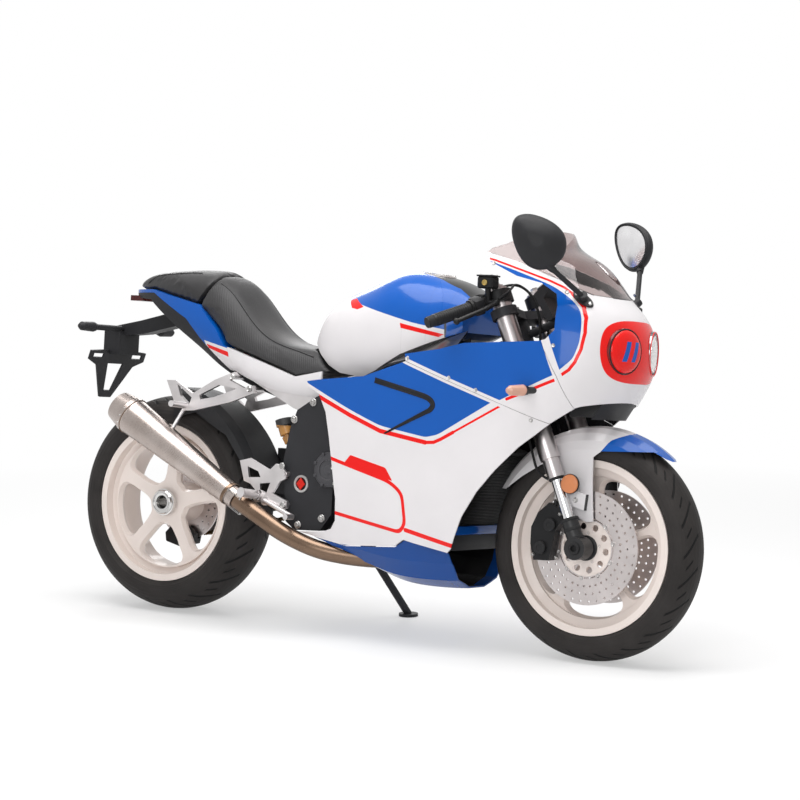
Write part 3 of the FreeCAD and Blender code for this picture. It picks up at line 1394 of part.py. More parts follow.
def mirror_oval(side, depth, long_half, short_half):
    """One section of a mirror's head, broader towards the end that the stalk carries."""
    points = []
    for step in range(12):
        turn = 2 * math.pi * step / 12
        taper = 1 - side * MIRROR_TAPER * math.cos(turn)
        points.append(Vector(depth, long_half * math.cos(turn), short_half * taper * math.sin(turn)))
    curve = Part.BSplineCurve()
    curve.interpolate(points, True)
    return Part.Wire([curve.toShape()])


def mirror_foot(side):
    """An oval plate that lies on the fairing, with a boss; and the point where the stalk starts."""
    at = Vector(MIRROR_FOOT.x, side * MIRROR_FOOT.y, MIRROR_FOOT.z)
    way = Vector(12, side * 36, 32).normalize()
    oval = Part.Face(Part.Wire([Part.Ellipse(Vector(0, 0, 0), 29, 16).toShape()]))
    plate = oval.extrude(Vector(0, 0, 60))
    plate.Placement = Placement(at - way * 30, Rotation(Vector(1, 0, -0.4), Vector(0, 0, 0), way, "ZXY"))
    plate = plate.common(hull_solid(-7)).cut(HULL_OUTER)
    boss = rod(at - way * 6, at + way * 26, 12).cut(HULL_OUTER)
    return [plate, boss], at + way * 18


def build_mirrors():
    """Mirrors on stalks, each foot bolted to the fairing beside the screen."""
    mirrors = []
    for side, head_at in MIRROR_HEADS:
        foot, neck = mirror_foot(side)
        head = Part.makeLoft([mirror_oval(side, *row) for row in MIRROR_SECTIONS], True, False)
        lean = Rotation(Vector(1, 0, 0), 40 * side - 4)
        head.Placement = Placement(head_at, Rotation(Vector(0, 0, 1), side * MIRROR_TURN).multiply(lean))
        socket = head.Placement.multVec(Vector(12, -side * 50, -24))
        down = (neck - socket).normalize()
        sleeve = Part.makeCone(14, 9, 48, socket - down * 8, down)
        mirrors.append(fused(foot + [rod(neck, socket, 7), sleeve, head]))
    shaped("mirrors", Part.makeCompound(mirrors))


def build_tail():
    """The plate hanger: an arm from the tray, a light bar, and a slotted bracket below a lamp block."""
    arm = side_prism([(-60, 870), (0, 840), (-150, 806), (-214, 800), (-262, 806), (-262, 826), (-160, 846)],
                     -24, 24)
    bar = across(-232, 818, -190, 190, 9)
    block = box(-282, -222, -46, 46, 742, 812)
    bracket = hanger_bracket()
    bulbs = []
    for side in (-1, 1):
        bulbs.append(turned((-232, side * 150, 818), (0, side, 0), [(0, 0), (0, 12), (10, 15), (60, 13),
                                                                    (70, 7), (74, 0)]))
    hanger = fused([arm, bar, block, bracket] + bulbs)
    shaped("plate_hanger", hanger.cut([PIECES["undertray"].Shape]))


def hanger_bracket():
    """A sloping plate with two slotted ears, narrowing to its foot."""
    top = Vector(-262, 0, 756)
    foot = Vector(-312, 0, 612)
    down = foot - top
    length = down.Length
    down.normalize()
    outline = [(0, 30), (6, 128), (34, 128), (52, 84), (length, 26), (length, -26), (52, -84), (34, -128),
               (6, -128), (0, -30)]
    slots = [[(14, side * 112), (26, side * 112), (26, side * 66), (14, side * 66)] for side in (-1, 1)]
    slots.append([(44, 36), (44, -36), (length - 22, -16), (length - 22, 16)])
    face = down_face(top, down, outline)
    for slot in slots:
        face = face.cut(down_face(top, down, slot))
    return face.extrude(down.cross(Vector(0, 1, 0)) * 6)


def down_face(top, down, outline):
    points = [top + down * along + Vector(0, y, 0) for along, y in outline]
    return Part.Face(Part.makePolygon(points + points[:1]))


# Side stand: a leg on a canted pin, its foot on the ground plane of the leaning bike
LEAN = math.radians(mm("lean"))
STAND_FOOT = Vector(mm("stand_foot_x"), mm("stand_foot_y"), mm("stand_foot_y") * math.tan(LEAN))


def build_stand():
    eye = Part.makeCylinder(mm("stand_eye_radius"), mm("stand_eye_width"), STAND_PIVOT, STAND_AXIS)
    up = Vector(0, -math.sin(LEAN), math.cos(LEAN))
    sole = STAND_FOOT + up * 6
    leg = rod(STAND_PIVOT + STAND_AXIS * mm("stand_eye_width") / 2, sole, mm("stand_leg_radius"))
    pad = Part.makeCylinder(28, 8, STAND_FOOT, up)
    pin_hole = Part.makeCylinder(mm("stand_pin_radius") + mm("running_gap"), 200,
                                 STAND_PIVOT - STAND_AXIS * 100, STAND_AXIS)
    behind = Part.makeCylinder(200, 200, STAND_PIVOT - STAND_AXIS * 200, STAND_AXIS)
    shaped("side_stand", fused([eye, leg, pad]).cut([pin_hole, behind]))


build_chassis()
build_rear()
build_exhaust()
build_controls()
build_front()
build_tail()
build_stand()

# Placement: lean onto the side stand, then bring the middle of the footprint to the origin
doc.recompute()
leaning = Placement(Vector(0, 0, 0), Rotation(Vector(1, 0, 0), -mm("lean")))
whole = Part.makeCompound([feature.Shape for feature in PIECES.values()])
whole.Placement = leaning
bounds = whole.optimalBoundingBox(False)
shift = Vector(-bounds.Center.x, -bounds.Center.y, -bounds.ZMin)
standing = Placement(shift, leaning.Rotation)
for feature in PIECES.values():
    feature.Placement = standing.multiply(feature.Placement)
doc.recompute()

for feature in doc.Objects:
    if "Invalid" in feature.State or "Error" in feature.State:
        raise RuntimeError(f"{feature.Label} failed")
for name, feature in PIECES.items():
    if feature.Shape.isNull() or not feature.Shape.isValid():
        raise RuntimeError(f"{name} has no valid shape")
    if not feature.Shape.Solids:
        raise RuntimeError(f"{name} has no solid")
for name, feature in PIECES.items():
    feature.Shape.exportStep(f"parts/{name}.step")
    print(name, len(feature.Shape.Solids), round(feature.Shape.Volume / 1000), "cm3")

print("standing", standing)
for label, point in (("front axle", FRONT_AXLE), ("rear axle", REAR_AXLE),
                     ("steering", on_fork(mm("yoke_low"))),
                     ("stand pivot", STAND_PIVOT)):
    print(label, standing.multVec(point))
for label, way in (("axles", Vector(0, 1, 0)), ("steering", UP_THE_FORK), ("stand", STAND_AXIS)):
    print(label, "axis", standing.Rotation.multVec(way))
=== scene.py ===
"""The looks of a road sport motorcycle: paint, castings, rubber, seats, small fittings and its studio.

Points on the motorcycle are given in millimetres in its own upright frame: x forward from the rear axle, y
to the left, z up from the ground. BIKE leans that frame onto the side stand and scales it to metres.
"""
import json
import math

import bmesh
import bpy
from bpy.props import FloatProperty, FloatVectorProperty, IntProperty, PointerProperty
from bpy.types import Operator, Panel, PropertyGroup
from mathutils import Matrix, Vector
from mathutils.bvhtree import BVHTree


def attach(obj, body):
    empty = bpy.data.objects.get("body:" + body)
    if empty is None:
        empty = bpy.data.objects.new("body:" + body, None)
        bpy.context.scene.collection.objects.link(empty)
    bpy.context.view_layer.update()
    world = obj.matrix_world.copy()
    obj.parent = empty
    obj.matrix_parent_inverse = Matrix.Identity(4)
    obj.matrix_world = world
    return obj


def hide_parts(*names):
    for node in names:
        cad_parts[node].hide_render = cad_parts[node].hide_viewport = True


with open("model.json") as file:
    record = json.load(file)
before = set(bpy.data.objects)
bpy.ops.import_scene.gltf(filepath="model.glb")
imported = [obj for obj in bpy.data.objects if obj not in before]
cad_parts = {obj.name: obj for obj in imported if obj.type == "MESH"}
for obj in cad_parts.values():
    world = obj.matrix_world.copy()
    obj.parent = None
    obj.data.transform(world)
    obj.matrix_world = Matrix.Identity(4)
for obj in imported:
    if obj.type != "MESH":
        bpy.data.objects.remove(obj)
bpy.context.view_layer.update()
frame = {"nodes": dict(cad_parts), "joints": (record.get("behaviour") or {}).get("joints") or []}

bl_info = {
    "name": "Sport motorcycle dressing",
    "version": (1, 0, 0),
    "blender": (4, 5, 0),
    "location": "3D View > Sidebar > Motorcycle",
    "description": "Dresses a packed sport motorcycle with its finishes and small fittings",
    "category": "Object",
}

# Where the motorcycle stands

MM = 0.001
JOINTS = {joint["name"]: joint for joint in frame["joints"]}
REAR_HUB = Vector(JOINTS["rear_wheel_spin"]["pos_m"])
FRONT_HUB = Vector(JOINTS["front_wheel_spin"]["pos_m"])
AXLE_WAY = Vector(JOINTS["rear_wheel_spin"]["axis"])
STEER_WAY = Vector(JOINTS["steering_turn"]["axis"])
LEAN = math.atan2(AXLE_WAY.z, AXLE_WAY.y)
REAR_RADIUS = 315
BIKE = (Matrix.Translation(REAR_HUB) @ Matrix.Rotation(LEAN, 4, "X") @ Matrix.Scale(MM, 4)
        @ Matrix.Translation((0, 0, -REAR_RADIUS)))
TO_BIKE = BIKE.inverted()
FRONT_AXLE = TO_BIKE @ FRONT_HUB
REAR_AXLE = TO_BIKE @ REAR_HUB
UP_FORK = (TO_BIKE.to_3x3() @ STEER_WAY).normalized()
ACROSS = Vector((0, 1, 0))
NODES = frame["nodes"]
SIDES = (-1, 1)


# Settings that a user would change

def colour_setting(name, note, value):
    return FloatVectorProperty(name=name, description=note, subtype="COLOR", size=4, min=0, max=1,
                               default=(*value, 1))


class PaintSettings(PropertyGroup):
    """Colours of the painted panels."""
    white: colour_setting("White", "Ground colour of the bodywork", (0.76, 0.735, 0.745))
    blue: colour_setting("Blue", "Colour of the blue fields", (0.0015, 0.092, 0.43))
    deep_blue: colour_setting("Deep blue", "Blue of the belly pan", (0.002, 0.055, 0.26))
    red: colour_setting("Red", "Colour of the stripes and the nose", (0.82, 0.004, 0.002))
    cream: colour_setting("Cream", "Colour of the wheels", (0.82, 0.73, 0.68))
    trim: colour_setting("Trim", "Colour of black parts among the paint", (0.016, 0.016, 0.017))


class MetalSettings(PropertyGroup):
    """Colours of the bare and coated metals."""
    silver: colour_setting("Cast silver", "Colour of the silver castings", (0.74, 0.71, 0.71))
    dark: colour_setting("Dark coating", "Colour of frame and engine", (0.03, 0.03, 0.033))
    bronze: colour_setting("Heat bronze", "Colour of the heated link pipe", (0.20, 0.135, 0.095))


class FittingSettings(PropertyGroup):
    """Sizes of the small fittings."""
    screw_radius: FloatProperty(name="Screw radius", description="Radius of a panel screw's head",
                                default=6 * MM,
                                min=2 * MM, max=12 * MM, unit="LENGTH")
    link_pitch: FloatProperty(name="Chain pitch", description="Distance between two pins of the chain",
                              default=15.875 * MM, min=8 * MM, max=20 * MM, unit="LENGTH")
    rows_of_sipes: IntProperty(name="Sipes",
                               description="How many times the tread pattern repeats round a tyre",
                               default=22, min=8, max=60)


class StudioSettings(PropertyGroup):
    """The studio's light."""
    lamp_power: FloatProperty(name="Lamp power", description="Power of the overhead lamp", default=120, min=0,
                              max=2000, unit="POWER")
    room_light: FloatProperty(name="Room light", description="Strength of the room's even light",
                              default=0.42, min=0,
                              max=3, subtype="FACTOR")


def settings(name):
    return getattr(bpy.context.scene, "motorcycle_" + name)


def shade(name):
    """A paint or metal colour by name."""
    source = settings("paint") if hasattr(settings("paint"), name) else settings("metal")
    return tuple(getattr(source, name))


# Node trees

def node(tree, kind, values=None, **options):
    """Add a node, set its options, and fill or link its inputs."""
    made = tree.nodes.new(kind)
    for key, value in options.items():
        setattr(made, key, value)
    for key, value in (values or {}).items():
        feed(tree, made.inputs[key], value)
    return made


def feed(tree, socket, value):
    if isinstance(value, bpy.types.NodeSocket):
        tree.links.new(value, socket)
    else:
        socket.default_value = value


def calc(tree, operation, *values, clamp=False):
    """A Math node's result."""
    made = node(tree, "ShaderNodeMath", operation=operation, use_clamp=clamp)
    for socket, value in zip(made.inputs, values):
        feed(tree, socket, value)
    return made.outputs[0]


def vector_calc(tree, operation, *values):
    made = node(tree, "ShaderNodeVectorMath", operation=operation)
    for socket, value in zip(made.inputs, values):
        feed(tree, socket, value)
    return made.outputs["Value" if operation in {"DOT_PRODUCT", "LENGTH"} else "Vector"]


def times(tree, first, *others):
    """The product of several values."""
    for value in others:
        first = calc(tree, "MULTIPLY", first, value)
    return first


def parts_of(tree, vector):
    """A vector's X, Y and Z."""
    return node(tree, "ShaderNodeSeparateXYZ", {"Vector": vector}).outputs


def flat_place(tree, along, up):
    """A place on a flat pattern that stands upright."""
    return node(tree, "ShaderNodeCombineXYZ", {"X": along, "Z": up}).outputs[0]


def object_place(tree):
    return node(tree, "ShaderNodeTexCoord").outputs["Object"]


def surface_normal(tree):
    return node(tree, "ShaderNodeNewGeometry").outputs["Normal"]


def noise(tree, place, scale, detail=2.0):
    return node(tree, "ShaderNodeTexNoise", {"Vector": place, "Scale": scale,
                                             "Detail": detail}).outputs["Fac"]


def shift(tree, value, from_low, from_high, to_low=0.0, to_high=1.0, kind="LINEAR"):
    """Map a value from one range to another."""
    made = node(tree, "ShaderNodeMapRange", {"Value": value, "From Min": from_low, "From Max": from_high,
                                             "To Min": to_low, "To Max": to_high}, interpolation_type=kind)
    return made.outputs["Result"]


def blend(tree, mask, first, second):
    """Mix two colours by a mask."""
    made = node(tree, "ShaderNodeMix", data_type="RGBA")
    feed(tree, made.inputs["Factor"], mask)
    feed(tree, made.inputs[6], first)
    feed(tree, made.inputs[7], second)
    return made.outputs[2]


def new_group(name, inputs, outputs):
    """An empty shader group with named sockets, and its two end nodes."""
    tree = bpy.data.node_groups.new(name, "ShaderNodeTree")
    for label, kind, value in inputs:
        made = tree.interface.new_socket(label, in_out="INPUT", socket_type="NodeSocket" + kind)
        if value is not None:
            made.default_value = value
    for label, kind in outputs:
        tree.interface.new_socket(label, in_out="OUTPUT", socket_type="NodeSocket" + kind)
    return tree, node(tree, "NodeGroupInput").outputs, node(tree, "NodeGroupOutput").inputs


def use(tree, name, values=None):
    """Place a group in a material with its own values."""
    made = node(tree, "ShaderNodeGroup", node_tree=bpy.data.node_groups[name])
    for key, value in (values or {}).items():
        feed(tree, made.inputs[key], value)
    return made.outputs


def group_bike_space():
    """The upright motorcycle's coordinates in metres: whole, from the side, from the front."""
    tree, _, result = new_group("bike_space", (), (("Position", "Vector"), ("Side", "Vector"),
                                                   ("Front", "Vector")))
    to_upright = Matrix.Scale(MM, 4) @ TO_BIKE
    position = node(tree, "ShaderNodeMapping", {
        "Vector": object_place(tree), "Location": to_upright.translation, "Rotation": TO_BIKE.to_euler(),
    }).outputs["Vector"]
    parts = parts_of(tree, position)
    feed(tree, result["Position"], position)
    feed(tree, result["Side"], flat_place(tree, parts["X"], parts["Z"]))
    feed(tree, result["Front"], flat_place(tree, parts["Y"], parts["Z"]))


def group_edge_distance():
    """How far a point of a flat pattern lies to the left of an edge."""
    tree, given, result = new_group("edge_distance", (("Place", "Vector", None), ("From", "Vector", None),
                                                      ("To", "Vector", None)), (("Distance", "Float"),))
    reach = vector_calc(tree, "SUBTRACT", given["Place"], given["From"])
    run = vector_calc(tree, "NORMALIZE", vector_calc(tree, "SUBTRACT", given["To"], given["From"]))
    feed(tree, result["Distance"], parts_of(tree, vector_calc(tree, "CROSS_PRODUCT", reach, run))["Y"])


def group_stripe():
    """How deep a point lies within a stripe of that half width round a straight run."""
    tree, given, result = new_group("stripe", (("Place", "Vector", None), ("From", "Vector", None),
                                               ("To", "Vector", None), ("Half width", "Float", 0.005)),
                                    (("Depth", "Float"),))
    reach = vector_calc(tree, "SUBTRACT", given["Place"], given["From"])
    run = vector_calc(tree, "SUBTRACT", given["To"], given["From"])
    share = calc(tree, "DIVIDE", vector_calc(tree, "DOT_PRODUCT", reach, run),
                 vector_calc(tree, "DOT_PRODUCT", run, run), clamp=True)
    scaled = node(tree, "ShaderNodeVectorMath", {"Vector": run, "Scale": share},
                  operation="SCALE").outputs["Vector"]
    gap = vector_calc(tree, "LENGTH", vector_calc(tree, "SUBTRACT", reach, scaled))
    feed(tree, result["Depth"], calc(tree, "SUBTRACT", given["Half width"], gap))


def group_surface_life():
    """The slight unevenness of a used surface: fine grain, broad clouds, and dust on what faces up."""
    tree, given, result = new_group("surface_life", (("Grain size", "Float", 900.0),
                                                     ("Cloud size", "Float", 9.0),
                                                     ("Dust", "Float", 0.1)),
                                    (("Grain", "Float"), ("Cloud", "Float"), ("Dust", "Float")))
    place = object_place(tree)
    cloud = noise(tree, place, given["Cloud size"], 4.0)
    upward = shift(tree, parts_of(tree, surface_normal(tree))["Z"], 0.2, 1.0)
    patchy = shift(tree, cloud, 0.4, 0.75)
    feed(tree, result["Grain"], noise(tree, place, given["Grain size"]))
    feed(tree, result["Cloud"], cloud)
    feed(tree, result["Dust"], times(tree, upward, patchy, given["Dust"]))


def group_edge_wear():
    """A mask along sharp edges, broken up by noise."""
    tree, given, result = new_group("edge_wear", (("Width", "Float", 0.0015), ("Amount", "Float", 0.6)),
                                    (("Mask", "Float"),))
    rounded = node(tree, "ShaderNodeBevel", {"Radius": given["Width"]}, samples=4).outputs["Normal"]
    same_way = vector_calc(tree, "DOT_PRODUCT", rounded, surface_normal(tree))
    edge = shift(tree, calc(tree, "SUBTRACT", 1.0, same_way), 0.02, 0.2)
    speck = shift(tree, noise(tree, object_place(tree), 60.0, 5.0), 0.35, 0.7)
    feed(tree, result["Mask"], times(tree, edge, speck, given["Amount"]))


def group_brushed_lines():
    """Fine drawn lines along one way of the part."""
    tree, given, result = new_group("brushed_lines", (("Turn", "Vector", None),
                                                      ("Stretch", "Vector", (6, 900, 900))),
                                    (("Lines", "Float"),))
    mapped = node(tree, "ShaderNodeMapping", {"Vector": object_place(tree), "Rotation": given["Turn"]})
    scaled = vector_calc(tree, "MULTIPLY", mapped.outputs["Vector"], given["Stretch"])
    feed(tree, result["Lines"], noise(tree, scaled, 1.0, 3.0))


def group_leather():
    """Pebbled seat cover with wrinkles."""
    tree, given, result = new_group("leather", (("Pebbles", "Float", 620.0),), (("Height", "Float"),))
    place = object_place(tree)
    cells = node(tree, "ShaderNodeTexVoronoi", {"Vector": place, "Scale": given["Pebbles"]},
                 feature="SMOOTH_F1")
    pebbles = calc(tree, "MULTIPLY", cells.outputs["Distance"], -0.5)
    creases = calc(tree, "MULTIPLY", noise(tree, place, 34.0, 5.0), 0.6)
    feed(tree, result["Height"], calc(tree, "ADD", pebbles, creases))


def group_wheel_space():
    """Place on a wheel from its hub: the turn round the axle, and the distances from it and along it."""
    tree, given, result = new_group("wheel_space", (("Hub", "Vector", None),),
                                    (("Turn", "Float"), ("Radius", "Float"), ("Across", "Float")))
    parts = parts_of(tree, vector_calc(tree, "SUBTRACT", use(tree, "bike_space")["Position"], given["Hub"]))
    feed(tree, result["Turn"], calc(tree, "DIVIDE", calc(tree, "ARCTAN2", parts["Z"], parts["X"]),
                                    2 * math.pi))
    feed(tree, result["Radius"], vector_calc(tree, "LENGTH", flat_place(tree, parts["X"], parts["Z"])))
    feed(tree, result["Across"], parts["Y"])


def build_groups():
    for build in (group_bike_space, group_edge_distance, group_stripe, group_surface_life, group_edge_wear,
                  group_brushed_lines, group_leather, group_wheel_space):
        build()


# Painted patterns, as distances into flat shapes

def flat(point):
    return (point[0] * MM, 0.0, point[1] * MM)


def field(tree, place, corners, rounding=4):
    """Depth into a convex field given by its corners."""
    area = sum(a[0] * b[1] - b[0] * a[1] for a, b in zip(corners, corners[1:] + corners[:1]))
    order = corners if area > 0 else corners[::-1]
    depth = None
    for start, end in zip(order, order[1:] + order[:1]):
        edge = use(tree, "edge_distance", {"Place": place, "From": flat(start), "To": flat(end)})["Distance"]
        depth = edge if depth is None else calc(tree, "SMOOTH_MIN", depth, edge, rounding * MM)
    return depth


def stripe(tree, place, points, half_width):
    """Depth into a stripe that follows those points."""
    depth = None
    for start, end in zip(points, points[1:]):
        run = use(tree, "stripe", {"Place": place, "From": flat(start), "To": flat(end),
                                   "Half width": half_width * MM})["Depth"]
        depth = run if depth is None else calc(tree, "MAXIMUM", depth, run)
    return depth


def under(tree, place, points, low):
    """Depth below a bent line, down to a low level."""
    depth = None
    for start, end in zip(points, points[1:]):
        part = field(tree, place, [(start[0], low), (end[0], low), end, start], 0.1)
        depth = part if depth is None else calc(tree, "MAXIMUM", depth, part)
    return depth


def smooth(points, steps=3):
    """More points along a curve through those points."""
    ends = [points[0]] + points + [points[-1]]
    curve = []
    for before, start, end, after in zip(ends, ends[1:], ends[2:], ends[3:]):
        for step in range(steps):
            t = step / steps
            curve.append(tuple(
                b + 0.5 * t * (c - a + t * (2 * a - 5 * b + 4 * c - d + t * (3 * (b - c) + d - a)))
                for a, b, c, d in zip(before, start, end, after)))
    return curve + [points[-1]]


EDGE = 0.0003
BLACK = (0.014, 0.014, 0.015, 1)
HULL_MIDDLE = (1000, 0, 640)
BELLY_LIP = 1000


def within(tree, depth, low=0.0, high=None):
    """A mask that is one where a depth lies between two levels."""
    mask = shift(tree, depth, low - EDGE, low + EDGE)
    if high is None:
        return mask
    return calc(tree, "MULTIPLY", mask, shift(tree, depth, high - EDGE, high + EDGE, 1.0, 0.0))


class Coat:
    """A painted material's colour, built up layer over layer."""

    def __init__(self, name, ground):
        self.material, self.tree, self.shader = new_finish(name)
        space = use(self.tree, "bike_space")
        self.side = space["Side"]
        self.front = space["Front"]
        self.position = space["Position"]
        self.colour = shade(ground)

    def over(self, depth, colour, low=0.0, high=None):
        self.colour = blend(self.tree, within(self.tree, depth, low * MM, high and high * MM), self.colour,
                            shade(colour))

    def field(self, colour, corners, rounding=4, **band):
        self.over(field(self.tree, self.side, corners, rounding), colour, **band)

    def stripe(self, colour, points, half_width):
        self.over(stripe(self.tree, self.side, points, half_width), colour)

    def under(self, colour, points, low=0):
        self.over(under(self.tree, self.side, points, low), colour)

    def blacken_inside(self, middle, up_to=2000):
        """Leave the faces that look towards the panel's middle in bare black plastic, behind a given x."""
        place = node(self.tree, "ShaderNodeTexCoord").outputs
        reach = vector_calc(self.tree, "SUBTRACT", place["Object"], tuple(BIKE @ Vector(middle)))
        inwards = vector_calc(self.tree, "DOT_PRODUCT", reach, place["Normal"])
        behind = shift(self.tree, forward_of(self.tree), (up_to - 1) * MM, (up_to + 1) * MM, 1.0, 0.0)
        mask = calc(self.tree, "MULTIPLY", behind, shift(self.tree, inwards, -0.002, 0.0, 1.0, 0.0))
        self.colour = blend(self.tree, mask, self.colour, BLACK)

    def finish(self, roughness=0.22, dust=0.05):
        """Give the paint its clear coat, faint unevenness and a trace of dust."""
        tree = self.tree
        life = use(tree, "surface_life", {"Grain size": 1400.0, "Cloud size": 7.0, "Dust": dust})
        set_base(tree, self.shader, varied(tree, self.colour, life["Cloud"], 0.97, 1.02), life,
                 (0.55, 0.53, 0.5, 1))
        set_roughness(tree, self.shader, life["Cloud"], roughness - 0.03, roughness + 0.05)
        set_bump(tree, self.shader, 0.03, 0.0004, noise(tree, self.position, 260.0, 1.0))
        self.shader.inputs["Specular IOR Level"].default_value = 0.15
        self.shader.inputs["Coat Weight"].default_value = 0.35
        self.shader.inputs["Coat Roughness"].default_value = 0.04
        return self.material


def new_finish(name, **sockets):
    """A material with one Principled shader, and constants on its sockets."""
    material = bpy.data.materials.new(name)
    material.use_nodes = True
    tree = material.node_tree
    shader = tree.nodes["Principled BSDF"]
    for label, value in sockets.items():
        shader.inputs[label.replace("_", " ").title().replace("Ior", "IOR")].default_value = value
    return material, tree, shader


CLOUD_SPAN = (0.3, 0.7)


def varied(tree, colour, pattern, low, high):
    """A colour made darker and lighter by a pattern."""
    value = shift(tree, pattern, *CLOUD_SPAN, low, high)
    return node(tree, "ShaderNodeHueSaturation", {"Color": colour, "Value": value}).outputs["Color"]


def set_base(tree, shader, colour, life, dust_colour):
    """Feed a shader its colour under a trace of dust."""
    feed(tree, shader.inputs["Base Color"], blend(tree, life["Dust"], colour, dust_colour))


def set_roughness(tree, shader, pattern, low, high):
    feed(tree, shader.inputs["Roughness"], shift(tree, pattern, *CLOUD_SPAN, low, high))


def set_bump(tree, shader, strength, distance, height):
    bump = node(tree, "ShaderNodeBump", {"Strength": strength, "Distance": distance, "Height": height})
    feed(tree, shader.inputs["Normal"], bump.outputs["Normal"])


def dress(name, material):
    """Give a CAD node a material."""
    mesh = NODES[name].data
    mesh.materials.clear()
    mesh.materials.append(material)


# Livery

SEAM_LINE = [(836, 806), (856, 782), (900, 763), (1026, 720), (1204, 663), (1347, 619)]
NOSE_SEAM = [(1318, 845), (1357, 752), (1380, 700)]
BELLY_LINE = [(470, 290), (541, 274), (670, 254), (750, 250), (873, 262), (905, 282), (1042, 260),
              (1100, 246)]
VENT_LINE = [(800, 707), (876, 691), (958, 673), (984, 663), (993, 649), (984, 636), (966, 627), (904, 597),
             (838, 565)]
VENT_WIDTHS = [8, 8, 8, 8, 8, 8, 7, 6, 4.5, 2]
TANK_BLUE_EDGE = [(560, 931), (598, 922), (689, 898), (838, 874), (969, 846), (1100, 815)]
TANK_FRONT_EDGE = [(800, 1030), (845, 1010), (918, 988), (975, 966), (1008, 945), (1024, 920), (1037, 862),
                   (1040, 820)]


def paint_side_fairing():
    coat = Coat("side_fairing_paint", "white")
    coat.field("blue", [(560, 690), (718, 622), (823, 585), (973, 563), (1012, 572), (1186, 673), (862, 790),
                        (700, 780), (560, 760)], 6)
    coat.stripe("red", [(572, 667), (718, 608), (823, 571), (973, 549)], 6)
    coat.stripe("red", [(973, 549), (1000, 551), (1023, 561), (1060, 581)], 4.6)
    coat.stripe("red", [(1060, 581), (1207, 661)], 3)
    coat.stripe("white", SEAM_LINE, 8)
    coat.field("red", [(600, 345), (897, 297), (919, 324), (908, 408), (868, 440), (600, 505)], 20, low=0,
               high=10)
    coat.field("red", [(703, 476), (871, 438), (846, 473), (724, 500)], 6)
    coat.stripe("red", [(915, 310), (1048, 282), (1120, 268)], 6)
    coat.under("deep_blue", BELLY_LINE)
    coat.blacken_inside(HULL_MIDDLE)
    return coat.finish()


def paint_cowl_side():
    coat = Coat("cowl_side_paint", "blue")
    coat.field("white", [(1100, 600), (1420, 600), (1420, 780), (1358, 750), (1285, 722), (1180, 680)], 1)
    coat.stripe("red", [(1220, 677), (1296, 708), (1353, 733)], 4)
    coat.stripe("white", SEAM_LINE, 8)
    coat.stripe("white", NOSE_SEAM, 11)
    coat.blacken_inside(HULL_MIDDLE)
    return coat.finish()


def paint_nose():
    coat = Coat("nose_paint", "white")
    blue = [(1060, 1054), (1060, 700), (1340, 735), (1366, 758), (1397, 788), (1411, 834), (1409, 886),
            (1398, 915),
            (1373, 941), (1317, 976), (1241, 1003)]
    coat.field("blue", blue, 10)
    coat.stripe("red", [(1369, 746), (1389, 761), (1403, 782), (1415, 815), (1420, 858), (1415, 897),
                        (1400, 927),
                        (1365, 959)], 4)
    coat.stripe("red", [(1365, 959), (1342, 974), (1300, 991), (1224, 1014), (1134, 1040), (1090, 1050)], 2.6)
    coat.stripe("white", NOSE_SEAM, 11)
    coat.field("white", [(1180, 560), (1480, 560), (1480, 740), (1366, 744), (1330, 700)], 1)
    front = use(coat.tree, "bike_space")["Front"]
    mask = field(coat.tree, front, [(-160, 734), (160, 734), (160, 897), (-160, 897)], 150)
    ahead = calc(coat.tree, "SUBTRACT", forward_of(coat.tree), 1.400)
    coat.over(calc(coat.tree, "MINIMUM", mask, ahead), "red")
    coat.blacken_inside(HULL_MIDDLE)
    return coat.finish()


def paint_tank():
    coat = Coat("tank_paint", "white")
    coat.field("blue", TANK_BLUE_EDGE + [(1100, 1100), (560, 1100)], 1)
    coat.field("red", [(626, 925), (652, 931), (700, 906), (676, 899), (650, 903)], 1)
    coat.field("red", [(838, 866), (969, 840), (955, 832), (842, 852)], 1)
    ahead = calc(coat.tree, "MULTIPLY", under(coat.tree, coat.side, TANK_FRONT_EDGE, 700), -1.0)
    past = calc(coat.tree, "MINIMUM", ahead, calc(coat.tree, "SUBTRACT", forward_of(coat.tree), 0.845))
    coat.over(past, "trim")
    return coat.finish()


def paint_tank_front():
    """Black cover ahead of the tank, with the tank's blue and white carried onto its rear edge."""
    coat = Coat("tank_front_paint", "trim")
    behind = calc(coat.tree, "SUBTRACT", 1.024, forward_of(coat.tree))
    between = calc(coat.tree, "SUBTRACT", 0.129, beside_middle(coat.tree))
    room = calc(coat.tree, "MINIMUM", behind, between)
    coat.over(calc(coat.tree, "MINIMUM", room, under(coat.tree, coat.side, TANK_FRONT_EDGE, 700)), "blue")
    lower = field(coat.tree, coat.side, [(840, 700), (960, 700), (960, 848), (838, 874)], 1)
    coat.over(calc(coat.tree, "MINIMUM", room, lower), "white")
    coat.field("trim", [(960, 700), (1100, 700), (1100, 800), (960, 826)], 1)
    return coat.finish(roughness=0.3)


def paint_tail():
    coat = Coat("tail_paint", "blue")
    coat.field("white", [(150, 795), (262, 770), (300, 640), (215, 640)], 1)
    coat.field("red", [(158, 785), (245, 764), (245, 750), (166, 773)], 1)
    return coat.finish()


def paint_belly():
    coat = Coat("belly_paint", "deep_blue")
    coat.blacken_inside((850, 0, 260), BELLY_LIP)
    return coat.finish()


def paint_fender():
    coat = Coat("fender_paint", "white")
    hub = FRONT_AXLE.x
    outline = [(30, 552), (55, 585), (100, 607), (160, 625), (300, 625), (300, 500), (30, 500)]
    coat.field("blue", [(hub + along, up) for along, up in outline], 2)
    coat.blacken_inside(FRONT_AXLE)
    return coat.finish()


